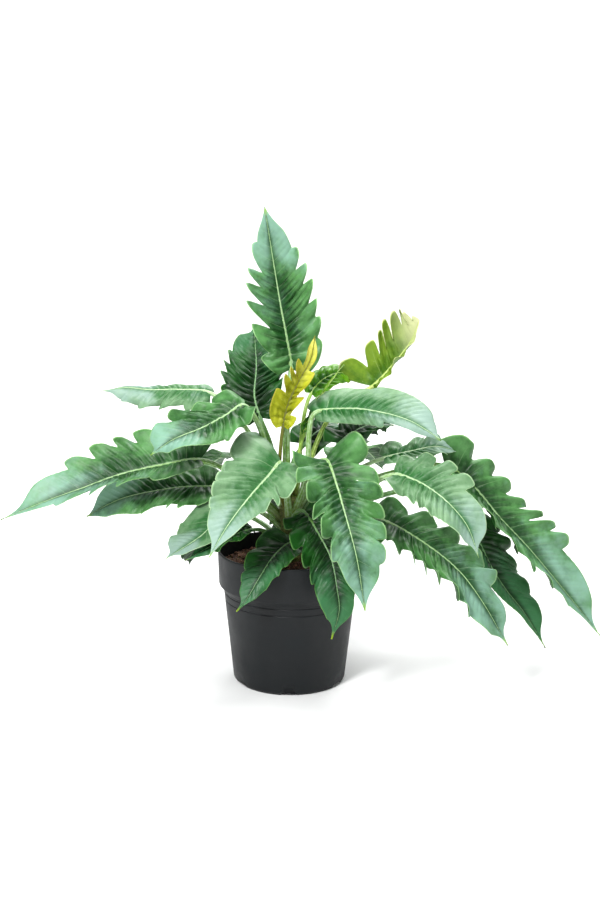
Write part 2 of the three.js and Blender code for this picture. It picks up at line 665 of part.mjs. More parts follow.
    face: [[0.3, 0.4, 0.85], [0.5, 0.8, 0.4]],
    halfWidth: [40, 40], fold: 8, curl: -0.2, teeth: 5, notch: 0.24,
  },
  {
    name: 'leaf_rear_left_low', finish: LEAF_DARK, node: 20, stalkRadius: 5,
    stalk: [[-50, 40, 36], [-92, 75, 45]],
    rib: [[-125, 102, 35], [-155, 130, 10], [-180, 155, -30], [-205, 185, -90]],
    face: [[-0.4, 0.3, 0.85], [-0.7, 0.6, 0.4]],
    halfWidth: [40, 40], fold: 8, curl: -0.2, teeth: 5, notch: 0.24,
  },
];

for (const leaf of LEAVES) {
  addPart(leaf.name, buildLeaf(leaf), leaf.finish);
}

// ---------------------------------------------------------------------------
// Dry sheaths: the papery brown bracts that new leaves leave behind round the stem
// ---------------------------------------------------------------------------

const SHEATHS = [
  {
    name: 'sheath_left',
    rib: [[-16, -26, 4], [-24, -36, 30], [-32, -44, 72]],
    face: [[-0.5, -0.8, 0.3], [-0.5, -0.8, 0.3]],
  },
  {
    name: 'sheath_front',
    rib: [[19, -27, 4], [27, -35, 28], [36, -44, 58]],
    face: [[0.5, -0.8, 0.3], [0.5, -0.8, 0.3]],
  },
  {
    name: 'sheath_rear',
    rib: [[-10, 30, 4], [-14, 40, 32], [-16, 52, 68]],
    face: [[-0.2, 0.9, 0.3], [-0.2, 0.9, 0.3]],
  },
];

const SHEATH_SHAPE = { halfWidth: [9, 9], fold: 20, curl: 0, teeth: 3, notch: 0 };

function buildSheath(sheath) {
  const points = sheath.rib.map(([x, y, z]) => new THREE.Vector3(x, y, SOIL_TOP + z));
  const line = new THREE.CatmullRomCurve3(points);
  line.ribStart = 0;
  const rows = SHEATH_SHAPE.teeth * ROWS_PER_TOOTH;
  const surface = bladeSurface({ ...sheath, ...SHEATH_SHAPE }, line);
  return toGeometry(toSolid(new ParametricGeometry(surface, BLADE_COLUMNS, rows)));
}

for (const sheath of SHEATHS) {
  addPart(sheath.name, buildSheath(sheath), SHEATH_BROWN);
}

export default group;
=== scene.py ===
"""Looks of a potted philodendron: toothed leaves on long stalks, soil and a nursery pot.

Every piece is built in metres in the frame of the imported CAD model, +Z up, front towards -Y.
"""

import logging
import math
import random
from collections.abc import Callable, Sequence
from dataclasses import dataclass
from enum import Enum

import bmesh
import bpy
from mathutils import Matrix, Vector, noise


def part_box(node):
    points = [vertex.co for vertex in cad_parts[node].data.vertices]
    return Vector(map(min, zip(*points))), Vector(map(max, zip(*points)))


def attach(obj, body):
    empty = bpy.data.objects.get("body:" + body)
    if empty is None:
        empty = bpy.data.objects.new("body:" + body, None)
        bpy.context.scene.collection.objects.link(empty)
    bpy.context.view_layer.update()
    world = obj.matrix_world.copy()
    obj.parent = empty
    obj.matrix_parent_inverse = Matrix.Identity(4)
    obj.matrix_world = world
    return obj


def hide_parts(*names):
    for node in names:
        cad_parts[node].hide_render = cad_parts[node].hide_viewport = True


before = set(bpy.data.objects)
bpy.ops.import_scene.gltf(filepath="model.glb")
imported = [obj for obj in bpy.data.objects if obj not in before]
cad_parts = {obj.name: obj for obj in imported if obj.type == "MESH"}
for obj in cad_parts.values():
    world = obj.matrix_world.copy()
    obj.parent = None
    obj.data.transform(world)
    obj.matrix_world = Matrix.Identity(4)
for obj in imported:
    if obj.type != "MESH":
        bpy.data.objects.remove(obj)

LOG = logging.getLogger("potted_philodendron")
BODY = "root"
MM = 0.001

CHIP_SEED = 11
STRAND_SEED = 12
SHEATH_SEED = 60
LEAF_SEED = 100

TUBE_END = 1e-6

Point = tuple[float, float, float]
Colour = tuple[float, float, float, float]
Notches = tuple[tuple[float, float], ...]
Socket = bpy.types.NodeSocket


# ---------------------------------------------------------------------------
# Small helpers
# ---------------------------------------------------------------------------


def smoothstep(low: float, high: float, value: float) -> float:
    """Ease from 0 at low to 1 at high.

    Args:
        low: Where the ramp starts.
        high: Where the ramp ends.
        value: The number to place on the ramp.

    Returns:
        A share from 0 to 1.
    """
    share = min(max((value - low) / (high - low), 0.0), 1.0)
    return share * share * (3.0 - 2.0 * share)


def lerp(start: float, end: float, share: float) -> float:
    """Return the number that lies share of the way from start to end."""
    return start + (end - start) * share


def arc_shares(start: float, turn: float) -> tuple[float, float]:
    """Measure an arc of length 1 that starts at one angle and turns by another.

    Args:
        start: The angle above the flat at which the arc starts, in radians.
        turn: How far it turns on its way, in radians.

    Returns:
        How far the arc reaches outwards and how far it reaches upwards.
    """
    if abs(turn) < 1e-4:
        return math.cos(start), math.sin(start)
    out = (math.sin(start + turn) - math.sin(start)) / turn
    rise = (math.cos(start) - math.cos(start + turn)) / turn
    return out, rise


class Route:
    """A smooth line through a few points, walked by its length."""

    SHORTEST = 1e-4

    def __init__(self, points: Sequence[Vector], steps: int = 260) -> None:
        """Sample the line.

        Args:
            points: The points that the line passes through.
            steps: How many short straight pieces the line is measured in.
        """
        self.points = list(points)
        self.samples: list[Vector] = []
        spans = len(self.points) - 1
        for step in range(steps + 1):
            place = spans * step / steps
            span = min(int(place), spans - 1)
            self.samples.append(self._on_span(span, place - span))
        self.lengths = [0.0]
        for before, after in zip(self.samples, self.samples[1:]):
            self.lengths.append(self.lengths[-1] + (after - before).length)
        self.steps = steps

    def _on_span(self, span: int, share: float) -> Vector:
        """Find a point on one span between two given points.

        Args:
            span: The number of the span, from 0.
            share: How far along the span, from 0 to 1.

        Returns:
            The point, on a curve that leaves each given point smoothly.
        """
        points = self.points
        p1, p2 = points[span], points[span + 1]
        p0 = points[span - 1] if span > 0 else p1 * 2.0 - p2
        p3 = points[span + 2] if span + 2 < len(points) else p2 * 2.0 - p1
        d0 = max((p1 - p0).length ** 0.5, self.SHORTEST)
        d1 = max((p2 - p1).length ** 0.5, self.SHORTEST)
        d2 = max((p3 - p2).length ** 0.5, self.SHORTEST)
        m1 = ((p1 - p0) / d0 - (p2 - p0) / (d0 + d1) + (p2 - p1) / d1) * d1
        m2 = ((p2 - p1) / d1 - (p3 - p1) / (d1 + d2) + (p3 - p2) / d2) * d1
        a = share * share
        b = a * share
        return (
            p1 * (2.0 * b - 3.0 * a + 1.0)
            + m1 * (b - 2.0 * a + share)
            + p2 * (3.0 * a - 2.0 * b)
            + m2 * (b - a)
        )

    @property
    def length(self) -> float:
        """The whole length of the line in metres."""
        return self.lengths[-1]

    def share_at_point(self, index: int) -> float:
        """Return how far along the line, as a share of its length, one given point lies."""
        step = round(self.steps * index / (len(self.points) - 1))
        return self.lengths[step] / self.length

    def at(self, share: float) -> tuple[Vector, Vector]:
        """Find a place on the line.

        Args:
            share: How far along the line, from 0 to 1.

        Returns:
            The point there and the unit direction of the line.
        """
        wanted = min(max(share, 0.0), 1.0) * self.length
        low, high = 0, self.steps
        while high - low > 1:
            middle = (low + high) // 2
            if self.lengths[middle] <= wanted:
                low = middle
            else:
                high = middle
        gap = self.lengths[high] - self.lengths[low]
        part = (wanted - self.lengths[low]) / gap if gap > 0 else 0.0
        point = self.samples[low].lerp(self.samples[high], part)
        before = self.samples[max(low - 1, 0)]
        after = self.samples[min(high + 1, self.steps)]
        return point, (after - before).normalized()


def move_grid(
    bm: bmesh.types.BMesh,
    columns: int,
    rows: int,
    place: Callable[[float, float], Vector],
    veins: float = 1.0,
) -> list[bmesh.types.BMFace]:
    """Add a grid and bend it: each corner goes from its place in the grid to a place in space.

    The grid's own numbers are kept in the UV maps "blade" and "veins".

    Args:
        bm: The mesh that the grid is added to.
        columns: Faces across, where the first number runs from -1 to 1.
        rows: Faces along, where the second number runs from 0 to 1.
        place: Gives the point for the two numbers.
        veins: How many veins the map "veins" counts along the grid.

    Returns:
        The grid's faces.
    """
    made = bmesh.ops.create_grid(bm, x_segments=columns, y_segments=rows, size=1.0)
    maps = bm.loops.layers.uv
    blade_map = maps.get("blade") or maps.new("blade")
    vein_map = maps.get("veins") or maps.new("veins")
    verts = made["verts"]
    faces = list({face for vert in verts for face in vert.link_faces})
    for face in faces:
        for loop in face.loops:
            across, along = loop.vert.co.x, (loop.vert.co.y + 1.0) / 2.0
            loop[blade_map].uv = ((across + 1.0) / 2.0, along)
            loop[vein_map].uv = (across, along * veins)
    for vert in verts:
        vert.co = place(vert.co.x, (vert.co.y + 1.0) / 2.0)
    return faces


def revolve(profile: Sequence[tuple[float, float]], steps: int) -> bmesh.types.BMesh:
    """Spin an outline of (radius, height) pairs into a closed round solid.

    Args:
        profile: The outline, from the axis round the outside and back to the axis.
        steps: How many faces go round.

    Returns:
        The solid, with its faces pointing outwards.
    """
    bm = bmesh.new()
    corners = [bm.verts.new((radius, 0.0, height)) for radius, height in profile]
    edges = [bm.edges.new(pair) for pair in zip(corners, corners[1:])]
    bmesh.ops.spin(
        bm,
        geom=corners + edges,
        cent=(0.0, 0.0, 0.0),
        axis=(0.0, 0.0, 1.0),
        angle=math.tau,
        steps=steps,
        use_merge=True,
    )
    bmesh.ops.remove_doubles(bm, verts=bm.verts, dist=1e-6)
    bmesh.ops.recalc_face_normals(bm, faces=bm.faces)
    return bm


def on_ring(centre: Vector, side: Vector, up: Vector, angle: float, radius: float) -> Vector:
    """Return the point of a ring, given its centre, its two axes, an angle and its radius."""
    return centre + (side * math.cos(angle) + up * math.sin(angle)) * radius


def at_tube_end(along: float) -> bool:
    """Tell whether a place is at either end of a tube, where it closes to a point."""
    return along < TUBE_END or along > 1.0 - TUBE_END


def add_tube(
    bm: bmesh.types.BMesh,
    sides: int,
    rows: int,
    place: Callable[[float, float], Vector],
    join_gap: float,
    slot: int = 0,
) -> None:
    """Add a grid wrapped into a tube, and join it along its seam and at its two ends.

    Args:
        bm: The mesh that the tube is added to.
        sides: Faces round the tube.
        rows: Faces along the tube.
        place: Gives the point for the grid's two numbers.
        join_gap: Corners closer than this are joined.
        slot: The material slot of the faces.
    """
    faces = move_grid(bm, sides, rows, place)
    for face in faces:
        face.material_index = slot
    verts = list({vert for face in faces for vert in face.verts})
    bmesh.ops.remove_doubles(bm, verts=verts, dist=join_gap)


def turn_outwards(bm: bmesh.types.BMesh) -> None:
    """Make the faces of one closed shell agree, and turn them outwards by the shell's volume.

    Args:
        bm: The mesh, which holds only that shell.
    """
    bmesh.ops.recalc_face_normals(bm, faces=bm.faces)
    if bm.calc_volume(signed=True) < 0.0:
        bmesh.ops.reverse_faces(bm, faces=bm.faces)


def finish_mesh(
    bm: bmesh.types.BMesh,
    name: str,
    materials: Sequence[bpy.types.Material],
) -> bpy.types.Object:
    """Turn a bmesh into a smooth-shaded object in the scene.

    Args:
        bm: The mesh, which is freed.
        name: The name of the object.
        materials: The object's material slots in order.

    Returns:
        The new object.
    """
    for face in bm.faces:
        face.smooth = True
    mesh = bpy.data.meshes.new(name)
    bm.to_mesh(mesh)
    bm.free()
    for material in materials:
        mesh.materials.append(material)
    piece = bpy.data.objects.new(name, mesh)
    bpy.context.scene.collection.objects.link(piece)
    return piece


def hand_over(piece: bpy.types.Object, slot: str, *nodes: str) -> None:
    """Tie a finished piece to the frame.

    Args:
        piece: The visible piece.
        slot: The name of the piece's material slot, which is only logged.
        nodes: The CAD nodes that it stands for.
    """
    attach(piece, BODY)
    if nodes:
        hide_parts(*nodes)
    LOG.info("%s: %d faces, slot %s", piece.name, len(piece.data.polygons), slot)


# ---------------------------------------------------------------------------
# Materials
# ---------------------------------------------------------------------------


class NodeSheet:
    """A material's node tree, with short calls for the nodes that this plant needs."""

    def __init__(self, name: str) -> None:
        """Start an empty material with a Principled shader.

        Args:
            name: The material's name.
        """
        self.material = bpy.data.materials.new(name)
        self.material.use_nodes = True
        self.tree = self.material.node_tree
        self.tree.nodes.clear()
        self.output = self.tree.nodes.new("ShaderNodeOutputMaterial")
        self.shader = self.tree.nodes.new("ShaderNodeBsdfPrincipled")
        self.tree.links.new(self.shader.outputs["BSDF"], self.output.inputs["Surface"])

    def link(self, source: Socket, target: Socket) -> None:
        """Join two sockets."""
        self.tree.links.new(source, target)

    def uv(self, layer: str) -> tuple[Socket, Socket]:
        """Read one of the piece's own UV maps.

        Args:
            layer: The map's name.

        Returns:
            The map's two numbers.
        """
        node = self.tree.nodes.new("ShaderNodeUVMap")
        node.uv_map = layer
        split = self.tree.nodes.new("ShaderNodeSeparateXYZ")
        self.link(node.outputs["UV"], split.inputs["Vector"])
        return split.outputs["X"], split.outputs["Y"]

    def math(self, operation: str, first: Socket | float, second: Socket | float = 0.0) -> Socket:
        """Add a Math node.

        Args:
            operation: The node's operation, such as MULTIPLY.
            first: A socket or a number.
            second: A socket or a number.

        Returns:
            The node's result.
        """
        node = self.tree.nodes.new("ShaderNodeMath")
        node.operation = operation
        for socket, value in zip(node.inputs, (first, second)):
            if isinstance(value, Socket):
                self.link(value, socket)
            else:
                socket.default_value = value
        return node.outputs[0]

    def ridges(self, value: Socket, density: float) -> Socket:
        """Return smooth ridges from 0 to 1: the size of the sine of a number times a density."""
        return self.math("ABSOLUTE", self.math("SINE", self.math("MULTIPLY", value, density)))

    def from_rib(self, across: Socket) -> Socket:
        """Return how far from the rib to the margin a place is, from the blade map's first number."""
        return self.math("ABSOLUTE", self.math("SUBTRACT", self.math("MULTIPLY", across, 2.0), 1.0))

    def ramp(self, value: Socket, low: float, high: float, start: float = 0.0, end: float = 1.0) -> Socket:
        """Map a number smoothly from one range to another.

        Args:
            value: The number.
            low: Where the ramp starts.
            high: Where the ramp ends.
            start: The result at low.
            end: The result at high.

        Returns:
            The mapped number.
        """
        node = self.tree.nodes.new("ShaderNodeMapRange")
        node.interpolation_type = "SMOOTHSTEP"
        self.link(value, node.inputs["Value"])
        node.inputs["From Min"].default_value = low
        node.inputs["From Max"].default_value = high
        node.inputs["To Min"].default_value = start
        node.inputs["To Max"].default_value = end
        return node.outputs["Result"]

    def noise(
        self,
        scale: float,
        detail: float = 3.0,
        roughness: float = 0.55,
        stretch: Point = (1.0, 1.0, 1.0),
    ) -> Socket:
        """Add noise in the piece's own coordinates, in cells per metre.

        Args:
            scale: Cells per metre.
            detail: Octaves of finer noise.
            roughness: Strength of the finer octaves.
            stretch: How much denser the noise is along each axis.

        Returns:
            A number about 0.5.
        """
        place = self.tree.nodes.new("ShaderNodeTexCoord")
        mapping = self.tree.nodes.new("ShaderNodeMapping")
        mapping.inputs["Scale"].default_value = stretch
        node = self.tree.nodes.new("ShaderNodeTexNoise")
        node.inputs["Scale"].default_value = scale
        node.inputs["Detail"].default_value = detail
        node.inputs["Roughness"].default_value = roughness
        self.link(place.outputs["Object"], mapping.inputs["Vector"])
        self.link(mapping.outputs["Vector"], node.inputs["Vector"])
        return node.outputs["Fac"]

    def cells(self, scale: float) -> Socket:
        """Add Voronoi cells in the piece's own coordinates.

        Args:
            scale: Cells per metre.

        Returns:
            The distance to the nearest cell's point.
        """
        place = self.tree.nodes.new("ShaderNodeTexCoord")
        node = self.tree.nodes.new("ShaderNodeTexVoronoi")
        node.inputs["Scale"].default_value = scale
        self.link(place.outputs["Object"], node.inputs["Vector"])
        return node.outputs["Distance"]

    def blend(self, share: Socket, first: Socket | Colour, second: Socket | Colour) -> Socket:
        """Mix two colours.

        Args:
            share: How much of the second colour, from 0 to 1.
            first: A colour or a colour socket.
            second: A colour or a colour socket.

        Returns:
            The mixed colour.
        """
        node = self.tree.nodes.new("ShaderNodeMix")
        node.data_type = "RGBA"
        self.link(share, node.inputs["Factor"])
        for socket, value in zip((node.inputs[6], node.inputs[7]), (first, second)):
            if isinstance(value, Socket):
                self.link(value, socket)
            else:
                socket.default_value = value
        return node.outputs[2]

    def bump(self, height: Socket, strength: float, depth: float) -> None:
        """Shade the surface as if it had a fine relief.

        Args:
            height: The relief from 0 to 1.
            strength: Share of the full effect.
            depth: The relief's depth in metres.
        """
        node = self.tree.nodes.new("ShaderNodeBump")
        node.inputs["Strength"].default_value = strength
        node.inputs["Distance"].default_value = depth
        self.link(height, node.inputs["Height"])
        self.link(node.outputs["Normal"], self.shader.inputs["Normal"])


def linear(red: int, green: int, blue: int) -> Colour:
    """Turn a colour as a screen shows it into linear light.

    Args:
        red: From 0 to 255.
        green: From 0 to 255.
        blue: From 0 to 255.

    Returns:
        The colour, opaque.
    """

    def one(value: int) -> float:
        """Turn one channel."""
        share = value / 255.0
        return share / 12.92 if share <= 0.04045 else ((share + 0.055) / 1.055) ** 2.4

    return one(red), one(green), one(blue), 1.0


STALK_FOOT = linear(104, 84, 44)


@dataclass(frozen=True)
class BladeFinish:
    """Colours and gloss of a leaf blade."""

    name: str
    slot: str
    deep: Colour
    light: Colour
    # painted sheen: the bluish-white colour that stands for the blade's soft reflections
    painted_sheen: Colour
    vein: Colour
    margin: Colour
    tip: Colour
    under: Colour
    stalk: Colour
    roughness: float = 0.42
    coat: float = 0.05
    tip_start: float = 0.93

    def upper(self) -> bpy.types.Material:
        """Build the material of the upper face: mottled green, painted shade next to the rib and in the
        pleat valleys near it, patches of painted sheen and a thin pale margin.

        Returns:
            The material.
        """
        sheet = NodeSheet(f"{self.name}_upper")
        across, along = sheet.uv("blade")
        _, vein_along = sheet.uv("veins")
        spread = sheet.from_rib(across)
        mottle = sheet.noise(60.0, 5.0, 0.65)
        broad = sheet.noise(14.0, 3.0, 0.55)
        # Painted shade and light: the blade is made darker next to the rib and lighter towards the margin.
        outer = sheet.ramp(spread, 0.05, 0.8, -0.16, 0.1)
        mix = sheet.math("ADD", sheet.math("MULTIPLY", mottle, 0.6), sheet.math("MULTIPLY", broad, 0.6))
        lightness = sheet.ramp(sheet.math("ADD", mix, outer), 0.36, 0.88)
        colour = sheet.blend(lightness, self.deep, self.light)
        # Painted sheen: bluish-white patches, more towards the tip and clear of the rib, stand for the
        # soft reflection of the light on the blade.
        patch = sheet.math("ADD", sheet.noise(16.0, 4.0, 0.6), sheet.ramp(along, 0.1, 0.9, -0.2, 0.2))
        clear_of_rib = sheet.ramp(spread, 0.04, 0.4, 0.1, 0.8)
        painted_sheen = sheet.math("MULTIPLY", sheet.ramp(patch, 0.36, 0.76), clear_of_rib)
        colour = sheet.blend(painted_sheen, colour, self.painted_sheen)
        # Painted shade: the pleat valleys next to the rib, in the lower part of the blade, are darkened
        # towards the deep green.
        wave = sheet.ridges(vein_along, math.pi)
        near_rib = sheet.ramp(spread, 0.12, 0.45, 1.0, 0.1)
        shade = sheet.math("MULTIPLY", near_rib, sheet.ramp(along, 0.3, 0.75, 1.0, 0.25))
        painted_crease_shade = sheet.math("MULTIPLY", sheet.ramp(wave, 0.0, 0.3, 0.34, 0.0), shade)
        colour = sheet.blend(painted_crease_shade, colour, self.deep)
        rows = sheet.ridges(vein_along, math.pi / 2.0)
        fading = sheet.ramp(spread, 0.3, 0.9, 1.0, 0.1)
        side_vein = sheet.math("MULTIPLY", sheet.ramp(rows, 0.0, 0.07, 0.34, 0.0), fading)
        colour = sheet.blend(side_vein, colour, self.vein)
        fine = sheet.ridges(vein_along, math.pi * 6.0)
        taper = sheet.math("DIVIDE", spread, sheet.math("SUBTRACT", 1.15, along))
        colour = sheet.blend(sheet.ramp(taper, 0.02, 0.06, 0.7, 0.0), colour, self.vein)
        colour = sheet.blend(sheet.ramp(spread, 0.962, 0.992, 0.0, 0.8), colour, self.margin)
        colour = sheet.blend(sheet.ramp(along, self.tip_start, 1.0, 0.0, 0.85), colour, self.tip)
        flecks = sheet.ramp(sheet.cells(95.0), 0.06, 0.12, 0.2, 0.0)
        colour = sheet.blend(flecks, colour, self.margin)
        sheet.link(colour, sheet.shader.inputs["Base Color"])
        rough = sheet.ramp(mottle, 0.3, 0.7, self.roughness - 0.06, self.roughness + 0.08)
        sheet.link(rough, sheet.shader.inputs["Roughness"])
        sheet.shader.inputs["Specular IOR Level"].default_value = 0.26
        sheet.shader.inputs["Coat Weight"].default_value = self.coat
        sheet.shader.inputs["Coat Roughness"].default_value = 0.3
        relief = sheet.math("ADD", sheet.noise(260.0, 3.0), sheet.math("MULTIPLY", fine, 0.45))
        sheet.bump(relief, 0.3, 0.0006)
        return sheet.material

    def lower(self) -> bpy.types.Material:
        """Build the material of the underside: paler, duller, with marked veins.

        Returns:
            The material.
        """
        sheet = NodeSheet(f"{self.name}_lower")
        across, _ = sheet.uv("blade")
        _, vein_along = sheet.uv("veins")
        spread = sheet.from_rib(across)
        colour = sheet.blend(sheet.ramp(sheet.noise(22.0), 0.35, 0.7), self.under, self.deep)
        wave = sheet.ridges(vein_along, math.pi)
        fading = sheet.ramp(spread, 0.5, 1.0, 1.0, 0.0)
        line = sheet.math("MULTIPLY", sheet.ramp(wave, 0.0, 0.2, 0.6, 0.0), fading)
        colour = sheet.blend(line, colour, self.vein)
        sheet.link(colour, sheet.shader.inputs["Base Color"])
        sheet.shader.inputs["Roughness"].default_value = 0.55
        sheet.bump(sheet.noise(300.0), 0.2, 0.0004)
        return sheet.material

    def stem(self) -> bpy.types.Material:
        """Build the material of the stalk and rib: pale green, brownish at the foot, faint streaks.

        Returns:
            The material.
        """
        sheet = NodeSheet(f"{self.name}_stalk")
        around, along = sheet.uv("blade")
        streak = sheet.math("SINE", sheet.math("MULTIPLY", around, 44.0))
        speckle = sheet.noise(160.0, 3.0)
        share = sheet.math("ADD", sheet.math("MULTIPLY", streak, 0.12), speckle)
        colour = sheet.blend(sheet.ramp(share, 0.35, 0.75), self.stalk, self.vein)
        colour = sheet.blend(sheet.ramp(along, 0.3, 0.75, 0.0, 0.8), colour, self.vein)
        colour = sheet.blend(sheet.ramp(along, 0.0, 0.14, 0.75, 0.0), colour, STALK_FOOT)
        sheet.link(colour, sheet.shader.inputs["Base Color"])
        sheet.shader.inputs["Roughness"].default_value = 0.38
        sheet.bump(share, 0.2, 0.0005)
        return sheet.material


class Finish(Enum):
    """The finishes that leaves come in: lighter and darker copies of one leaf green, partly the leaves'
    own tone and partly painted light and shade, the pale one mostly for leaves in full light and the dark
    one mostly for leaves in the shade of others.
    """

    # Paler copy: partly painted light, for leaves that face the light.
    PALE = BladeFinish(
        "pale", "leaf_pale",
        deep=linear(38, 96, 42), light=linear(116, 152, 112),
        painted_sheen=linear(146, 172, 162), vein=linear(176, 204, 160),
        margin=linear(166, 200, 150), tip=linear(140, 180, 80),
        under=linear(52, 112, 50), stalk=linear(112, 154, 66),
    )
    MID = BladeFinish(
        "mid", "leaf_green",
        deep=linear(10, 60, 12), light=linear(82, 136, 74),
        painted_sheen=linear(128, 168, 150), vein=linear(158, 192, 140),
        margin=linear(136, 180, 116), tip=linear(140, 180, 50),
        under=linear(42, 102, 36), stalk=linear(100, 144, 48),
    )
    # Darker copy: partly painted shade, for leaves in the shade of other leaves.
    DARK = BladeFinish(
        "dark", "leaf_dark",
        deep=linear(2, 32, 2), light=linear(22, 82, 18),
        painted_sheen=linear(58, 114, 72), vein=linear(104, 146, 96),
        margin=linear(92, 142, 66), tip=linear(160, 188, 30),
        under=linear(28, 76, 26), stalk=linear(78, 120, 40),
    )
    BRIGHT = BladeFinish(
        "bright", "leaf_bright",
        deep=linear(20, 84, 2), light=linear(92, 156, 10),
        painted_sheen=linear(126, 184, 36), vein=linear(170, 204, 100),
        margin=linear(200, 216, 130), tip=linear(208, 212, 132),
        under=linear(76, 134, 24), stalk=linear(120, 160, 44),
        roughness=0.3, coat=0.3,
    )
    YOUNG = BladeFinish(
        "young", "leaf_bright",
        deep=linear(54, 98, 10), light=linear(116, 146, 36),
        painted_sheen=linear(148, 172, 84), vein=linear(186, 204, 110),
        margin=linear(210, 214, 150), tip=linear(218, 220, 168),
        under=linear(110, 150, 40), stalk=linear(112, 152, 50),
        roughness=0.45, tip_start=0.4,
    )
    YELLOW = BladeFinish(
        "yellow", "leaf_yellow",
        deep=linear(128, 134, 10), light=linear(184, 188, 40),
        painted_sheen=linear(212, 208, 104), vein=linear(104, 106, 28),
        margin=linear(170, 150, 60), tip=linear(120, 84, 44),
        under=linear(150, 152, 36), stalk=linear(84, 88, 18),
        roughness=0.5,
    )


@dataclass(frozen=True)
class PotPlastic:
    """Matte anthracite plastic of the pot, finely pebbled, a little dusty."""

    base: Colour = linear(6, 11, 14)
    dust: Colour = linear(20, 29, 33)
    roughness: float = 0.52

    def material(self) -> bpy.types.Material:
        """Build the plastic.

        Returns:
            The material.
        """
        sheet = NodeSheet("pot_plastic")
        grain = sheet.noise(900.0, 2.0)
        dust = sheet.noise(14.0, 5.0, 0.65)
        speck = sheet.ramp(sheet.cells(420.0), 0.05, 0.16, 0.3, 0.0)
        colour = sheet.blend(sheet.ramp(dust, 0.48, 0.8, 0.0, 0.3), self.base, self.dust)
        colour = sheet.blend(speck, colour, self.dust)
        sheet.link(colour, sheet.shader.inputs["Base Color"])
        rough = sheet.ramp(dust, 0.3, 0.8, self.roughness - 0.06, self.roughness + 0.12)
        sheet.link(rough, sheet.shader.inputs["Roughness"])
        sheet.shader.inputs["Specular IOR Level"].default_value = 0.3
        sheet.bump(grain, 0.3, 0.0003)
        return sheet.material


@dataclass(frozen=True)
class Crumb:
    """Rough natural brown matter: coir, bark or dry sheath."""

    name: str
    dark: Colour
    light: Colour
    grain: float = 220.0
    stretch: Point = (1.0, 1.0, 1.0)

    def material(self) -> bpy.types.Material:
        """Build the material.

        Returns:
            The material.
        """
        sheet = NodeSheet(self.name)
        coarse = sheet.noise(self.grain, 5.0, 0.65, self.stretch)
        fine = sheet.noise(self.grain * 6.0, 3.0)
        colour = sheet.blend(sheet.ramp(coarse, 0.32, 0.72), self.dark, self.light)
        sheet.link(colour, sheet.shader.inputs["Base Color"])
        sheet.shader.inputs["Roughness"].default_value = 0.88
        sheet.bump(sheet.math("ADD", coarse, fine), 0.6, 0.0012)
        return sheet.material


SOIL = Crumb("soil_coir", linear(48, 30, 22), linear(112, 76, 56))
BARK = Crumb("bark_chip", linear(66, 40, 28), linear(150, 104, 78), grain=320.0)
SHEATH = Crumb(
    "dry_sheath", linear(96, 62, 36), linear(176, 134, 84), grain=120.0, stretch=(1.0, 1.0, 0.15),
)
TRUNK = Crumb(
    "trunk_skin", linear(70, 74, 36), linear(122, 128, 66), grain=160.0, stretch=(1.0, 1.0, 2.5),
)


# ---------------------------------------------------------------------------
# The plant's own frame
# ---------------------------------------------------------------------------


@dataclass(frozen=True)
class PlantFrame:
    """Where the leaf points are measured from: the pot's rim, the stem's top and the soil.

    The leaf tables are written for a certain rim and stem. As in the CAD model, a leaf point goes
    with the stem's top close to the stem, and further out with the pot's rim.
    """

    TABLE_RIM_RADIUS = 135.0
    TABLE_STEM_HEIGHT = 125.0
    TABLE_STEM_TOP = 105.0
    SPREAD_FROM = 50.0
    SPREAD_FULLY_AT = 150.0

    reach: float
    rim_height: float
    stem_top: float
    soil_top: float

    @classmethod
    def from_boxes(cls) -> "PlantFrame":
        """Read the boxes of the pot, the stem and the soil from the frame.

        Returns:
            The plant's frame.
        """
        _, pot_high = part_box("pot")
        _, stem_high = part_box("stem")
        _, soil_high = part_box("soil")
        reach = pot_high[0] / (cls.TABLE_RIM_RADIUS * MM)
        return cls(reach, pot_high[2], stem_high[2], soil_high[2])

    def leaf_point(self, point: Point) -> Vector:
        """Turn a leaf point into a place in the frame.

        Args:
            point: Millimetres from the stem's axis, and up from the level of the pot's rim.

        Returns:
            The place in metres.
        """
        x, y, z = point
        far = smoothstep(self.SPREAD_FROM, self.SPREAD_FULLY_AT, math.hypot(x, y))
        spread = lerp(1.0, self.reach, far) * MM
        level = lerp(self.stem_top - self.TABLE_STEM_TOP * MM, self.rim_height, far)
        return Vector((x * spread, y * spread, level + z * MM))

    def start(self, height: float, offset: tuple[float, float]) -> Vector:
        """Return the point inside the stem where a stalk starts, given its height over the soil."""
        level = self.stem_top + (height - self.TABLE_STEM_HEIGHT) * MM
        return Vector((offset[0] * MM, offset[1] * MM, level))

    def sheath_point(self, point: Point) -> Vector:
        """Turn a sheath point, in millimetres from the stem's axis and the soil, into metres."""
        x, y, z = point
        return Vector((x * MM, y * MM, self.soil_top + z * MM))


# ---------------------------------------------------------------------------
# Leaves
# ---------------------------------------------------------------------------


@dataclass(frozen=True)
class LeafShape:
    """One leaf: the line of its CAD node, under a blade with the full outline and fine relief.

    Lengths are in millimetres and angles in degrees, apart from the curl, which is in radians.
    Most blades are wider than the plain solids that they stand for, and their lobes next to the
    stalk reach further back.

    The notches of a side are pairs: the place along the rib, from 0 at the stalk to 1 at the
    tip, and the share of the half-width that the notch cuts away.
    """

    name: str
    finish: Finish
    node: float
    stalk_radius: float
    stalk: tuple[Point, ...]
    rib: tuple[Point, ...]
    face: tuple[Point, Point]
    half_width: tuple[float, float]
    fold: float
    curl: float
    teeth: int
    notch: float
    offset: tuple[float, float] = (0.0, 0.0)
    left: Notches = ()
    right: Notches = ()
    widest: float = 0.3
    taper: float = 1.7
    drip: float = 0.6
    heart: tuple[float, float] = (0.35, 0.35)
    sweep: tuple[float, float] = (-44.0, -44.0)
    pleat: float = 3.4
    ruffle: float = 6.0
    wander: float = 6.0
    rib_girth: float = 1.0


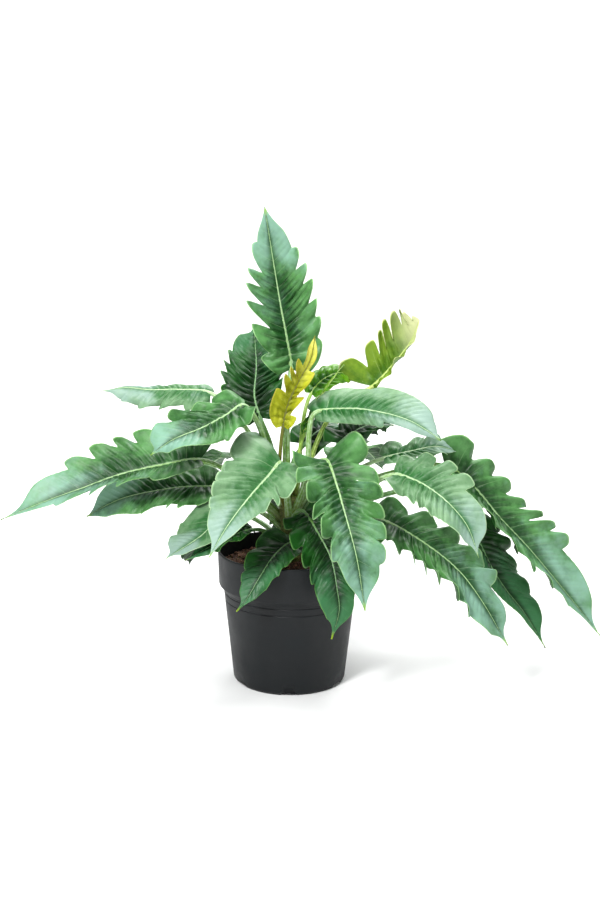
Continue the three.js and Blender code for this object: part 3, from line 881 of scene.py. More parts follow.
class Margin:
    """The lobed edge of one side of a blade."""

    CREST = 0.78
    RISE_POWER = 1.7
    JITTER = 0.22
    LAST_NOTCH = 0.88

    def __init__(self, notches: Notches) -> None:
        """Take the notches between the lobes, in order from the stalk to the tip."""
        self.places = [0.0, *(place for place, _ in notches), 1.0]
        self.depths = [0.0, *(depth for _, depth in notches), 0.0]

    @classmethod
    def grown(cls, teeth: int, depth: float, chance: random.Random) -> "Margin":
        """Grow uneven notches that get shallower towards the tip.

        Args:
            teeth: How many lobes there are.
            depth: The share of the half-width that a notch cuts away near the stalk.
            chance: Draws the small differences.

        Returns:
            The edge.
        """
        notches = []
        for tooth in range(1, teeth):
            place = (tooth + chance.uniform(-cls.JITTER, cls.JITTER)) / teeth * cls.LAST_NOTCH
            fade = lerp(1.15, 0.45, smoothstep(0.3, 0.85, place))
            notches.append((place, depth * fade * chance.uniform(0.75, 1.25)))
        return cls(tuple(notches))

    def at(self, along: float) -> tuple[float, float]:
        """Find a place on the edge.

        Args:
            along: The place along the rib.

        Returns:
            The share of the half-width that is left there, and the place within the lobe.
        """
        lobe = 0
        while lobe < len(self.places) - 2 and along >= self.places[lobe + 1]:
            lobe += 1
        low, high = self.places[lobe], self.places[lobe + 1]
        phase = min(max((along - low) / (high - low), 0.0), 1.0)
        if phase < self.CREST:
            return 1.0 - self.depths[lobe] * (1.0 - phase / self.CREST) ** self.RISE_POWER, phase
        fall = (phase - self.CREST) / (1.0 - self.CREST)
        return 1.0 - self.depths[lobe + 1] * fall**2, phase


class Blade:
    """A thin lobed blade on both sides of a rib."""

    COLUMNS = 28
    ROWS = 190
    THICKNESS = 0.0009
    PLEAT_PITCH = 0.0125
    TIP_HALF_WIDTH = 0.0005
    SPREAD_POWER = 1.15
    DRIFT_SCALE = 9.0
    LIFTS = 16

    def __init__(self, shape: LeafShape, route: Route, rib_start: float, seed: int) -> None:
        """Settle the blade's lobes, its pleats and its rib's frames.

        Args:
            shape: The leaf's sizes.
            route: The line that the rib follows.
            rib_start: The share of the line at which the blade starts.
            seed: Seed of the small differences within the leaf.
        """
        self.shape = shape
        self.route = route
        self.rib_start = rib_start
        chance = random.Random(seed)
        self.margins = [
            Margin(notches) if notches else Margin.grown(shape.teeth, shape.notch, chance)
            for notches in (shape.left, shape.right)
        ]
        self.pleats = round(route.length * (1.0 - rib_start) / self.PLEAT_PITCH)
        self.lifts = [[chance.uniform(-0.6, 1.0) for _ in range(self.LIFTS)] for _ in range(2)]
        self.place = Vector((chance.uniform(0, 9), chance.uniform(0, 9), chance.uniform(0, 9)))
        self.face_start = Vector(shape.face[0]).normalized()
        self.face_end = Vector(shape.face[1]).normalized()

    def frame_at(self, along: float) -> tuple[Vector, Vector, Vector, Vector]:
        """Find the rib's own axes at a place on it.

        Args:
            along: From 0 at the stalk to 1 at the tip.

        Returns:
            The rib's point, its direction, the upper face's direction and the side's.
        """
        share = self.rib_start + (1.0 - self.rib_start) * along
        point, tangent = self.route.at(share)
        face = self.face_start.lerp(self.face_end, along)
        face = (face - tangent * face.dot(tangent)).normalized()
        return point, tangent, face, tangent.cross(face)

    def outline(self, hand: int, along: float) -> float:
        """Give the plain outline of one side, before the lobes are cut.

        Args:
            hand: 0 for the left side of the rib and 1 for the right.
            along: From 0 at the stalk to 1 at the tip.

        Returns:
            The half-width as a share of the largest.
        """
        shape = self.shape
        if along < shape.widest:
            return lerp(shape.heart[hand], 1.0, 1.0 - (1.0 - along / shape.widest) ** 2.6)
        fall = (along - shape.widest) / (1.0 - shape.widest)
        return (1.0 - fall**shape.taper) * lerp(1.0, 1.0 - shape.drip, smoothstep(0.62, 0.96, fall))

    def lean(self, hand: int, along: float, spread: float) -> float:
        """Return how far the side veins lean forward, in radians."""
        opening = smoothstep(-0.08, 0.22, along)
        return math.radians(lerp(self.shape.sweep[hand], 26.0, opening) + 12.0 * along + 8.0 * spread)

    def point(self, across: float, along: float) -> Vector:
        """Bend one corner of the flat grid into the blade.

        Args:
            across: From -1 at one margin through 0 at the rib to 1 at the other.
            along: From 0 at the stalk to 1 at the tip.

        Returns:
            The corner's place in metres.
        """
        hand = 0 if across < 0 else 1
        spread = abs(across) ** self.SPREAD_POWER
        left_over, phase = self.margins[hand].at(along)
        cut = lerp(1.0, left_over, smoothstep(0.15, 1.0, spread))
        half_width = self.shape.half_width[hand] * MM * self.outline(hand, along) * cut
        reach = max(half_width, self.TIP_HALF_WIDTH) * spread
        lift = self.relief(hand, spread, along, phase)
        return self.place_at(hand, reach, spread, along, lift)

    def place_at(self, hand: int, reach: float, spread: float, along: float, lift: float) -> Vector:
        """Lay one point of the blade out from the rib.

        Args:
            hand: 0 for the left side of the rib and 1 for the right.
            reach: The distance from the rib in metres, measured along the vein.
            spread: The share of the way from the rib to the margin.
            along: The place on the rib.
            lift: How far the relief lifts the point.

        Returns:
            The point.
        """
        shape = self.shape
        centre, tangent, face, side = self.frame_at(along)
        sign = -1.0 if hand == 0 else 1.0
        lean = self.lean(hand, along, spread)
        out, rise = arc_shares(math.radians(shape.fold), shape.curl * spread)
        spot = centre + side * (sign * reach * math.cos(lean) * out)
        spot += tangent * (reach * math.sin(lean)) + face * (reach * rise)
        drift = noise.noise(spot * self.DRIFT_SCALE + self.place) * shape.wander * MM * spread
        return spot + face * (drift + lift)

    def relief(self, hand: int, spread: float, along: float, phase: float) -> float:
        """Work out the crumple next to the rib, the faint pleats and the ruffled margin.

        Args:
            hand: 0 for the left side of the rib and 1 for the right.
            spread: The share of the way from the rib to the margin.
            along: From 0 at the stalk to 1 at the tip.
            phase: The place within the lobe.

        Returns:
            How far the surface is lifted, in metres.
        """
        shape = self.shape
        turn = self.pleats * along
        near = spread / (0.22 + 0.07 * math.sin(turn * 0.7 + hand * 2.0))
        swell = near * math.exp(1.0 - near)
        calm = lerp(1.0, 0.15, smoothstep(0.35, 0.72, along)) * smoothstep(0.0, 0.05, along)
        seat = Vector((turn * 0.62, spread * 2.6, self.place.x + hand * 7.0))
        fold = 1.0 - 2.4 * abs(noise.noise(seat))
        wave = abs(math.sin(math.pi * turn + 1.3 * noise.noise(seat * 0.5))) ** 0.7 - 0.5
        pleat = shape.pleat * 1.5 * (0.7 * fold + 1.0 * wave - 0.35) * swell * calm
        faint = 0.55 * wave * min(1.0, spread * 2.0) * (1.0 - 0.6 * spread) * lerp(1.0, 0.4, along)
        lobe = sum(1 for place in self.margins[hand].places[1:-1] if along >= place)
        lift = self.lifts[hand][lobe % self.LIFTS]
        after = self.lifts[hand][(lobe + 1) % self.LIFTS]
        level = lerp(lift, after, smoothstep(0.75, 1.0, phase))
        quiet = lerp(1.0, 0.25, smoothstep(0.4, 0.9, along)) * min(1.0, self.outline(hand, along) * 1.6)
        curl = 0.8 * math.sin(math.tau * (phase - 0.2)) * (1.0 - phase * 0.3)
        ruffle = shape.ruffle * spread**2.2 * (level + curl)
        return (pleat + faint + ruffle * quiet) * MM

    def add_to(self, bm: bmesh.types.BMesh) -> None:
        """Add the blade to a mesh as a closed thin shell: upper face slot 0, underside slot 1."""
        move_grid(bm, self.COLUMNS, self.ROWS, self.point, float(self.pleats))
        self._thicken(bm)

    def _thicken(self, bm: bmesh.types.BMesh) -> None:
        """Give the sheet its thickness: the upper face stays where it is.

        Args:
            bm: The mesh, which holds only the sheet.
        """
        upper = list(bm.faces)
        bm.normal_update()
        way = bm.verts.layers.float_vector.new("way")
        for vert in bm.verts:
            vert[way] = vert.normal
        made = bmesh.ops.extrude_face_region(bm, geom=upper, use_keep_orig=True)
        for item in made["geom"]:
            if isinstance(item, bmesh.types.BMVert):
                item.co -= item[way] * self.THICKNESS
            elif isinstance(item, bmesh.types.BMFace):
                item.material_index = 1
        turn_outwards(bm)


class Stalk:
    """The round stalk with a shallow channel, which runs on under the blade as its rib."""

    SIDES = 14
    ROWS = 90
    SLOT = 2
    JOIN_GAP = 2e-5
    FOOT_FLARE = 0.55
    LOW_GIRTH = 1.12
    TOP_GIRTH = 0.78
    RIB_GIRTH = 0.42
    TIP_RADIUS = 0.0004
    CHANNEL_DEPTH = 0.2
    CHANNEL_WIDTH = 0.5
    SINK = 0.5

    def __init__(self, blade: Blade) -> None:
        """Take the blade that the stalk carries."""
        self.blade = blade

    def radius(self, share: float) -> float:
        """Give the stalk's radius, which flares at the foot and thins along the rib.

        Args:
            share: The share of the leaf's whole line.

        Returns:
            The radius in metres.
        """
        full = self.blade.shape.stalk_radius * MM
        start = self.blade.rib_start
        if share < start:
            foot = self.FOOT_FLARE * (1.0 - smoothstep(0.0, 0.35 * start, share))
            return full * (lerp(self.LOW_GIRTH, self.TOP_GIRTH, share / start) + foot)
        part = (share - start) / (1.0 - start)
        thin = self.RIB_GIRTH * self.blade.shape.rib_girth
        girth = lerp(self.TOP_GIRTH, thin, smoothstep(0.0, 0.15, part))
        return full * girth * (1.0 - part) ** 1.15 + self.TIP_RADIUS

    def point(self, across: float, along: float) -> Vector:
        """Wrap one corner of the flat grid round the leaf's line.

        Args:
            across: From -1 to 1, once round the stalk.
            along: From 0 at the stem to 1 at the leaf's tip.

        Returns:
            The corner's place in metres.
        """
        centre, tangent = self.blade.route.at(along)
        start = self.blade.rib_start
        part = max((along - start) / (1.0 - start), 0.0)
        _, _, face, _ = self.blade.frame_at(part)
        face = (face - tangent * face.dot(tangent)).normalized()
        side = tangent.cross(face)
        radius = 0.0 if at_tube_end(along) else self.radius(along)
        angle = -math.pi * across
        groove = math.exp(-(((angle - math.pi / 2) / self.CHANNEL_WIDTH) ** 2))
        channel = 1.0 - self.CHANNEL_DEPTH * groove * (1.0 - part)
        sink = self.SINK * smoothstep(start - 0.06, start, along)
        middle = centre - face * (sink * self.radius(along))
        return on_ring(middle, side, face, angle, radius * channel)

    def add_to(self, bm: bmesh.types.BMesh) -> None:
        """Add the stalk to a mesh as a closed tube in a material slot of its own."""
        add_tube(bm, self.SIDES, self.ROWS, self.point, self.JOIN_GAP, self.SLOT)


class Leaf:
    """A whole leaf: blade, rib and stalk in one piece."""

    def __init__(self, shape: LeafShape, plant: PlantFrame, seed: int) -> None:
        """Lay the leaf's line.

        Args:
            shape: The leaf's sizes.
            plant: Where leaf points are measured from.
            seed: Seed of the leaf's small differences.
        """
        self.shape = shape
        points = [plant.start(shape.node, shape.offset)]
        points += [plant.leaf_point(point) for point in (*shape.stalk, *shape.rib)]
        route = Route(points)
        rib_start = route.share_at_point(len(shape.stalk) + 1)
        self.blade = Blade(shape, route, rib_start, seed)

    def build(self, dressed: dict[Finish, list[bpy.types.Material]]) -> bpy.types.Object:
        """Make the leaf and tie it to its CAD node.

        Args:
            dressed: The three materials of each finish: upper face, underside and stalk.

        Returns:
            The leaf.
        """
        bm = bmesh.new()
        self.blade.add_to(bm)
        Stalk(self.blade).add_to(bm)
        piece = finish_mesh(bm, f"{self.shape.name}_grown", dressed[self.shape.finish])
        hand_over(piece, self.shape.finish.value.slot, self.shape.name)
        return piece


# ---------------------------------------------------------------------------
# Sheaths, stem, soil and pot
# ---------------------------------------------------------------------------


@dataclass(frozen=True)
class Sheath:
    """A dry papery bract at the foot of the stem."""

    name: str
    rib: tuple[Point, Point, Point]
    face: Point
    half_width: float = 9.0

    def build(self, plant: PlantFrame, material: bpy.types.Material, seed: int) -> bpy.types.Object:
        """Make the sheath, a small blade with no stalk, and tie it to its CAD node.

        Args:
            plant: Where sheath points are measured from.
            material: The dry brown skin.
            seed: Seed of the sheath's small differences.

        Returns:
            The sheath.
        """
        shape = LeafShape(
            self.name, Finish.YELLOW, node=0.0, stalk_radius=1.0, stalk=(), rib=self.rib,
            face=(self.face, self.face), half_width=(self.half_width, self.half_width),
            fold=20.0, curl=0.6, teeth=3, notch=0.1, pleat=0.4, ruffle=1.5, wander=4.0,
        )
        route = Route([plant.sheath_point(point) for point in self.rib])
        bm = bmesh.new()
        Blade(shape, route, 0.0, seed).add_to(bm)
        piece = finish_mesh(bm, f"{self.name}_dry", [material, material])
        hand_over(piece, "sheath_brown", self.name)
        return piece


@dataclass(frozen=True)
class Trunk:
    """The short stem, ringed by the scars of old leaves."""

    ring_height: float = 0.011
    ring_depth: float = 0.0014
    steps: int = 72
    rings: int = 90
    dome_start: float = 0.86
    crown_share: float = 0.02
    lump: float = 0.0016
    lump_scale: float = 60.0

    def build(self, material: bpy.types.Material) -> bpy.types.Object:
        """Make the stem inside its CAD node's box.

        Args:
            material: The green-brown skin.

        Returns:
            The stem.
        """
        low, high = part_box("stem")
        radius = high[0]
        height = high[2] - low[2]
        profile = [(0.0, low[2])]
        for ring in range(self.rings + 1):
            share = ring / self.rings
            dome = math.sqrt(max(1.0 - smoothstep(self.dome_start, 1.0, share) ** 2, 0.0))
            scar = self.ring_depth * abs(math.sin(math.pi * share * height / self.ring_height))
            girth = (radius - self.ring_depth + scar) * max(dome, self.crown_share)
            profile.append((girth, low[2] + share * height))
        profile.append((0.0, high[2]))
        bm = revolve(profile, self.steps)
        for vert in bm.verts:
            out = Vector((vert.co.x, vert.co.y, 0.0))
            if out.length > 1e-5:
                vert.co += out.normalized() * noise.noise(vert.co * self.lump_scale) * self.lump
        piece = finish_mesh(bm, "stem_skin", [material])
        hand_over(piece, "stem_green", "stem")
        return piece


@dataclass(frozen=True)
class SoilBed:
    """Coir compost with bark chips and loose fibres on top."""

    steps: int = 160
    rings: int = 46
    lump: float = 0.0045
    chips: int = 850
    strands: int = 160
    dome: float = 0.008
    wall_gap: float = 0.0012
    foot_radius: float = 0.099
    shoulder: tuple[float, float] = (0.119, 0.176)
    wall_foot: float = 0.186
    lumps_above: float = 0.2
    settling: float = 0.002
    join_gap: float = 1e-5

    def rim_and_top(self) -> tuple[float, float]:
        """Return the radius and the height of the soil's upper edge, from its CAD node's box."""
        _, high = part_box("soil")
        return high[0] - self.wall_gap, high[2]

    def surface(self, radius: float, top: float, rim: float) -> float:
        """Return the height of the smooth soil surface at a distance from the axis."""
        return top - self.dome * smoothstep(0.35, 1.0, radius / rim)

    def build(self, material: bpy.types.Material) -> bpy.types.Object:
        """Make the body of the soil, closed and lumpy on top.

        Args:
            material: The coir compost.

        Returns:
            The soil.
        """
        low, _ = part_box("soil")
        rim, top = self.rim_and_top()
        profile = [(0.0, low[2]), (self.foot_radius, low[2]), self.shoulder, (rim, self.wall_foot)]
        for ring in range(self.rings + 1):
            radius = rim * (1.0 - ring / self.rings)
            profile.append((radius, self.surface(radius, top, rim)))
        bm = revolve(profile, self.steps)
        for vert in bm.verts:
            flat = math.hypot(vert.co.x, vert.co.y)
            if vert.co.z > self.lumps_above:
                rough = noise.noise(vert.co * 70.0) + 0.5 * noise.noise(vert.co * 190.0)
                vert.co.z += self.lump * rough * smoothstep(rim, rim * 0.93, flat) - self.settling
        piece = finish_mesh(bm, "soil_body", [material])
        hand_over(piece, "soil_coir", "soil")
        return piece

    def build_chips(self, material: bpy.types.Material, seed: int) -> bpy.types.Object:
        """Scatter small bark chips over the soil.

        Args:
            material: The bark.
            seed: Seed of the chips' sizes and places.

        Returns:
            All the chips in one piece.
        """
        chance = random.Random(seed)
        rim, top = self.rim_and_top()
        bm = bmesh.new()
        for _ in range(self.chips):
            made = bmesh.ops.create_icosphere(bm, subdivisions=1, radius=1.0)
            size = chance.uniform(0.0012, 0.0042)
            flat = chance.uniform(0.35, 0.8)
            distance = math.sqrt(chance.uniform(0.03, 0.96)) * rim
            angle = chance.uniform(0.0, math.tau)
            height = self.surface(distance, top, rim)
            heading = Matrix.Rotation(chance.uniform(0, math.tau), 4, "Z")
            tilt = Matrix.Rotation(chance.uniform(-0.7, 0.7), 4, "X")
            place = Matrix.Translation((distance * math.cos(angle), distance * math.sin(angle), height))
            scale = Matrix.Diagonal((size * chance.uniform(0.8, 1.9), size, size * flat, 1.0))
            bmesh.ops.transform(bm, matrix=place @ (heading @ tilt) @ scale, verts=made["verts"])
        piece = finish_mesh(bm, "soil_bark_chips", [material])
        for face in piece.data.polygons:
            face.use_smooth = False
        hand_over(piece, "soil_coir")
        return piece

    def build_strands(self, material: bpy.types.Material, seed: int) -> bpy.types.Object:
        """Scatter loose coir fibres over the soil.

        Args:
            material: The fibre.
            seed: Seed of the fibres' lengths and places.

        Returns:
            All the fibres in one piece.
        """
        chance = random.Random(seed)
        rim, top = self.rim_and_top()
        bm = bmesh.new()
        for _ in range(self.strands):
            distance = math.sqrt(chance.uniform(0.05, 0.86)) * rim
            angle = chance.uniform(0.0, math.tau)
            middle = Vector((distance * math.cos(angle), distance * math.sin(angle), 0.0))
            aim = chance.uniform(0.0, math.tau)
            reach = chance.uniform(0.005, 0.013)
            bend = chance.uniform(-0.004, 0.004)
            points = []
            for share in (-1.0, 0.0, 1.0):
                spot = middle + Vector((math.cos(aim), math.sin(aim), 0.0)) * (reach * share)
                spot += Vector((-math.sin(aim), math.cos(aim), 0.0)) * (bend * (1.0 - share * share))
                spot.z = self.surface(min(spot.length, rim), top, rim) + chance.uniform(0.0005, 0.003)
                points.append(spot)
            self._add_strand(bm, Route(points, 12), chance.uniform(0.0003, 0.0006))
        piece = finish_mesh(bm, "soil_fibres", [material])
        hand_over(piece, "soil_coir")
        return piece

    def _add_strand(self, bm: bmesh.types.BMesh, route: Route, radius: float) -> None:
        """Add one thin closed fibre along a line.

        Args:
            bm: The mesh that the fibre is added to.
            route: The line.
            radius: The fibre's radius in metres.
        """

        def place(across: float, along: float) -> Vector:
            """Wrap one corner of the flat grid round the line.

            Args:
                across: From -1 to 1, once round the fibre.
                along: From 0 to 1 along the line.

            Returns:
                The corner's place in metres.
            """
            centre, tangent = route.at(along)
            side = tangent.cross(Vector((0.0, 0.0, 1.0))).normalized()
            up = side.cross(tangent)
            girth = 0.0 if at_tube_end(along) else radius
            return on_ring(centre, side, up, -math.pi * across, girth)

        add_tube(bm, 5, 6, place, self.join_gap)


@dataclass(frozen=True)
class Pot:
    """The moulded nursery pot, in metres."""

    collar_height: float = 0.064
    collar_step: float = 0.009
    collar_taper: float = 0.002
    step_drop: float = 0.010
    foot_radius: float = 0.105
    wall: float = 0.003
    lip_width: float = 0.004
    floor_raise: float = 0.006
    foot_ring: float = 0.007
    pad_radius: float = 0.040
    groove_drops: tuple[float, float] = (0.078, 0.092)
    groove_width: float = 0.003
    groove_depth: float = 0.0012
    notches: int = 6
    notch_width: float = 0.030
    drains: int = 8
    drain_radius: float = 0.007
    drain_outset: float = 0.008
    cutter_height: float = 0.030
    edge: float = 0.001
    foot_edge: float = 0.003
    collar_middle: float = 0.030
    lip_height: float = 0.004
    body_rings: tuple[float, ...] = (0.005, 0.030, 0.080, 0.130)
    edge_round: float = 0.0006
    sharp_angle: float = 18.0
    notch_margin: float = 0.002
    notch_slope: float = 2.0
    steps: int = 180

    def body_radius(self, z: float, rim: float, height: float) -> float:
        """Give the outer radius of the tapered body.

        Args:
            z: The height over the floor that the pot stands on.
            rim: The radius of the rim.
            height: The height of the pot.

        Returns:
            The radius.
        """
        top = height - self.collar_height - self.step_drop
        top_radius = rim - self.collar_taper - self.collar_step
        return self.foot_radius + (top_radius - self.foot_radius) * z / top

    def profile(self, rim: float, height: float) -> list[tuple[float, float]]:
        """Draw the pot's section from the middle of its underside round to its inner floor.

        Args:
            rim: The radius of the rim.
            height: The height of the pot.

        Returns:
            Pairs of a radius and a height.
        """

        def body(z: float) -> float:
            """Return the body's radius."""
            return self.body_radius(z, rim, height)

        collar_low = height - self.collar_height
        step_low = collar_low - self.step_drop
        collar_foot = rim - self.collar_taper
        half = self.groove_width / 2.0
        grooves = []
        for drop in reversed(self.groove_drops):
            z = height - drop
            grooves += [
                (body(z - half), z - half),
                (body(z) - self.groove_depth, z),
                (body(z + half), z + half),
            ]
        return [
            (0.0, 0.0),
            (self.pad_radius, 0.0),
            (self.pad_radius + self.foot_edge, self.floor_raise),
            (self.foot_radius - self.foot_ring - self.foot_edge, self.floor_raise),
            (self.foot_radius - self.foot_ring, 0.0),
            (self.foot_radius - self.foot_edge, 0.0),
            *((body(z), z) for z in self.body_rings),
            *grooves,
            (body(step_low), step_low),
            (collar_foot - self.edge, collar_low),
            (collar_foot, collar_low + self.foot_edge),
            (lerp(collar_foot, rim, 0.5), collar_low + self.collar_middle),
            (rim, height - self.lip_height),
            (rim, height - self.edge),
            (rim - self.edge, height),
            (rim - self.lip_width, height),
            (collar_foot - self.wall, collar_low),
            (body(step_low) - self.wall, step_low),
            (body(self.floor_raise) - self.wall, self.floor_raise + self.wall),
            (0.0, self.floor_raise + self.wall),
        ]

    def _round_edges(self, bm: bmesh.types.BMesh) -> None:
        """Round the moulded edges that run round the pot.

        Args:
            bm: The pot's mesh.
        """
        sharp = [
            edge for edge in bm.edges
            if len(edge.link_faces) == 2 and edge.calc_face_angle(0.0) > math.radians(self.sharp_angle)
            and abs(edge.verts[0].co.z - edge.verts[1].co.z) < 1e-5
        ]
        bmesh.ops.bevel(
            bm, geom=sharp, offset=self.edge_round, offset_type="OFFSET", segments=3, profile=0.5,
            affect="EDGES", clamp_overlap=True, material=-1,
        )

    def _lift_notches(self, bm: bmesh.types.BMesh) -> None:
        """Lift the foot ring in the notches that let water out.

        Args:
            bm: The pot's mesh.
        """
        inner = self.foot_radius - self.foot_ring - self.notch_margin
        for vert in bm.verts:
            radius = math.hypot(vert.co.x, vert.co.y)
            if radius < inner or vert.co.z > self.floor_raise:
                continue
            pitch = math.tau / self.notches
            angle = (math.atan2(vert.co.y, vert.co.x) + math.pi / 2 + pitch / 2) % pitch - pitch / 2
            beyond = self.notch_width / 2.0 - abs(angle) * radius
            lift = min(max(beyond * self.notch_slope, 0.0), self.floor_raise)
            vert.co.z = max(vert.co.z, lift)

    def _drill(self, pot: bpy.types.Object) -> None:
        """Cut the drain holes through the floor.

        Args:
            pot: The pot, whose mesh is replaced.
        """
        bm = bmesh.new()
        middle = (self.pad_radius + self.foot_radius - self.foot_ring) / 2.0 + self.drain_outset
        for hole in range(self.drains):
            angle = (hole + 0.5) * math.tau / self.drains
            spot = (middle * math.cos(angle), middle * math.sin(angle), self.floor_raise)
            bmesh.ops.create_cone(
                bm, cap_ends=True, segments=28, radius1=self.drain_radius, radius2=self.drain_radius,
                depth=self.cutter_height, matrix=Matrix.Translation(spot),
            )
        cutter = finish_mesh(bm, "drain_cutter", [])
        cut = pot.modifiers.new("drains", "BOOLEAN")
        cut.operation = "DIFFERENCE"
        cut.object = cutter
        cut.solver = "EXACT"
        shaped = bpy.data.meshes.new_from_object(pot.evaluated_get(bpy.context.evaluated_depsgraph_get()))
        pot.modifiers.clear()
        pot.data = shaped
        bpy.data.objects.remove(cutter)

    def build(self, material: bpy.types.Material) -> bpy.types.Object:
        """Make the pot in its CAD node's box.

        Args:
            material: The plastic.

        Returns:
            The pot.
        """
        _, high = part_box("pot")
        bm = revolve(self.profile(high[0], high[2]), self.steps)
        self._round_edges(bm)
        self._lift_notches(bm)
        piece = finish_mesh(bm, "pot_moulded", [material])
        self._drill(piece)
        hand_over(piece, "pot_plastic", "pot")
        return piece


# ---------------------------------------------------------------------------
# Studio
# ---------------------------------------------------------------------------


@dataclass(frozen=True)
class AreaLight:
    """One soft box."""

    name: str
    place: Point
    aim: Point
    size: float
    watts: float
    colour: tuple[float, float, float] = (1.0, 1.0, 1.0)

    def build(self) -> None:
        """Hang the light."""
        data = bpy.data.lights.new(self.name, "AREA")
        data.shape = "SQUARE"
        data.size = self.size
        data.energy = self.watts
        data.color = self.colour
        light = bpy.data.objects.new(self.name, data)
        light.location = self.place
        aim = Vector(self.aim) - Vector(self.place)
        light.rotation_euler = aim.to_track_quat("-Z", "Y").to_euler()
        bpy.context.scene.collection.objects.link(light)


@dataclass(frozen=True)
class Studio:
    """Plain pale floor and backdrop, soft light, and the camera."""

    camera_place: Point = (0.017, -2.5, 0.98)
    camera_pitch: float = 12.2
    camera_roll: float = 0.5
    lens: float = 55.52
    floor_width: float = 16.0
    sensor_width: float = 36.0
    floor_colour: Colour = (0.86, 0.86, 0.86, 1.0)
    bend_start: float = 4.0
    bend_radius: float = 2.0
    backdrop_stretch: float = 2.0
    sky_colour: Colour = (0.97, 0.99, 1.0, 1.0)
    sky_strength: float = 0.36
    lights: tuple[AreaLight, ...] = (
        AreaLight("key", (-1.4, -2.4, 2.7), (0.0, 0.0, 0.45), 0.8, 138.0),
        AreaLight("top", (0.3, -0.2, 2.9), (0.0, 0.0, 0.4), 1.1, 48.0),
        AreaLight("fill", (2.6, -2.2, 1.2), (0.0, 0.0, 0.4), 1.8, 18.0),
        AreaLight("back", (0.8, 2.2, 2.6), (0.0, 0.0, 0.5), 1.8, 60.0),
        AreaLight("backdrop", (0.0, 2.2, 4.2), (0.0, 6.0, 1.0), 3.0, 260.0),
    )

    def build_floor(self) -> None:
        """Lay the floor, which curves up into a backdrop."""
        bm = bmesh.new()
        bmesh.ops.create_grid(bm, x_segments=2, y_segments=60, size=self.floor_width / 2.0)
        radius = self.bend_radius
        for vert in bm.verts:
            past = vert.co.y - self.bend_start
            if past > 0.0:
                angle = min(past / radius, math.pi / 2)
                rest = max(past - radius * math.pi / 2, 0.0)
                vert.co.y = self.bend_start + radius * math.sin(angle)
                vert.co.z = radius * (1.0 - math.cos(angle)) + rest * self.backdrop_stretch
        sheet = NodeSheet("studio_floor")
        sheet.shader.inputs["Base Color"].default_value = self.floor_colour
        sheet.shader.inputs["Roughness"].default_value = 0.9
        sheet.shader.inputs["Specular IOR Level"].default_value = 0.1
        finish_mesh(bm, "studio_floor", [sheet.material])

    def build_world(self) -> None:
        """Light the scene evenly from all round."""
        world = bpy.data.worlds.new("studio_world")
        world.use_nodes = True
        background = world.node_tree.nodes["Background"]
        background.inputs["Color"].default_value = self.sky_colour
        background.inputs["Strength"].default_value = self.sky_strength
        bpy.context.scene.world = world

    def build_camera(self) -> None:
        """Set the camera in front and a little above."""
        data = bpy.data.cameras.new("camera")
        data.lens = self.lens
        data.sensor_width = self.sensor_width
        camera = bpy.data.objects.new("camera", data)
        tilt = Matrix.Rotation(math.radians(90.0 - self.camera_pitch), 4, "X")
        roll = Matrix.Rotation(math.radians(self.camera_roll), 4, "Z")
        camera.matrix_world = Matrix.Translation(self.camera_place) @ tilt @ roll
        bpy.context.scene.collection.objects.link(camera)
        bpy.context.scene.camera = camera

    def build(self) -> None:
        """Build the whole studio."""
        self.build_camera()
        self.build_floor()
        self.build_world()
        for light in self.lights:
            light.build()
        bpy.context.scene.view_settings.view_transform = "Standard"


# ---------------------------------------------------------------------------
# The leaves and sheaths of this plant
# ---------------------------------------------------------------------------


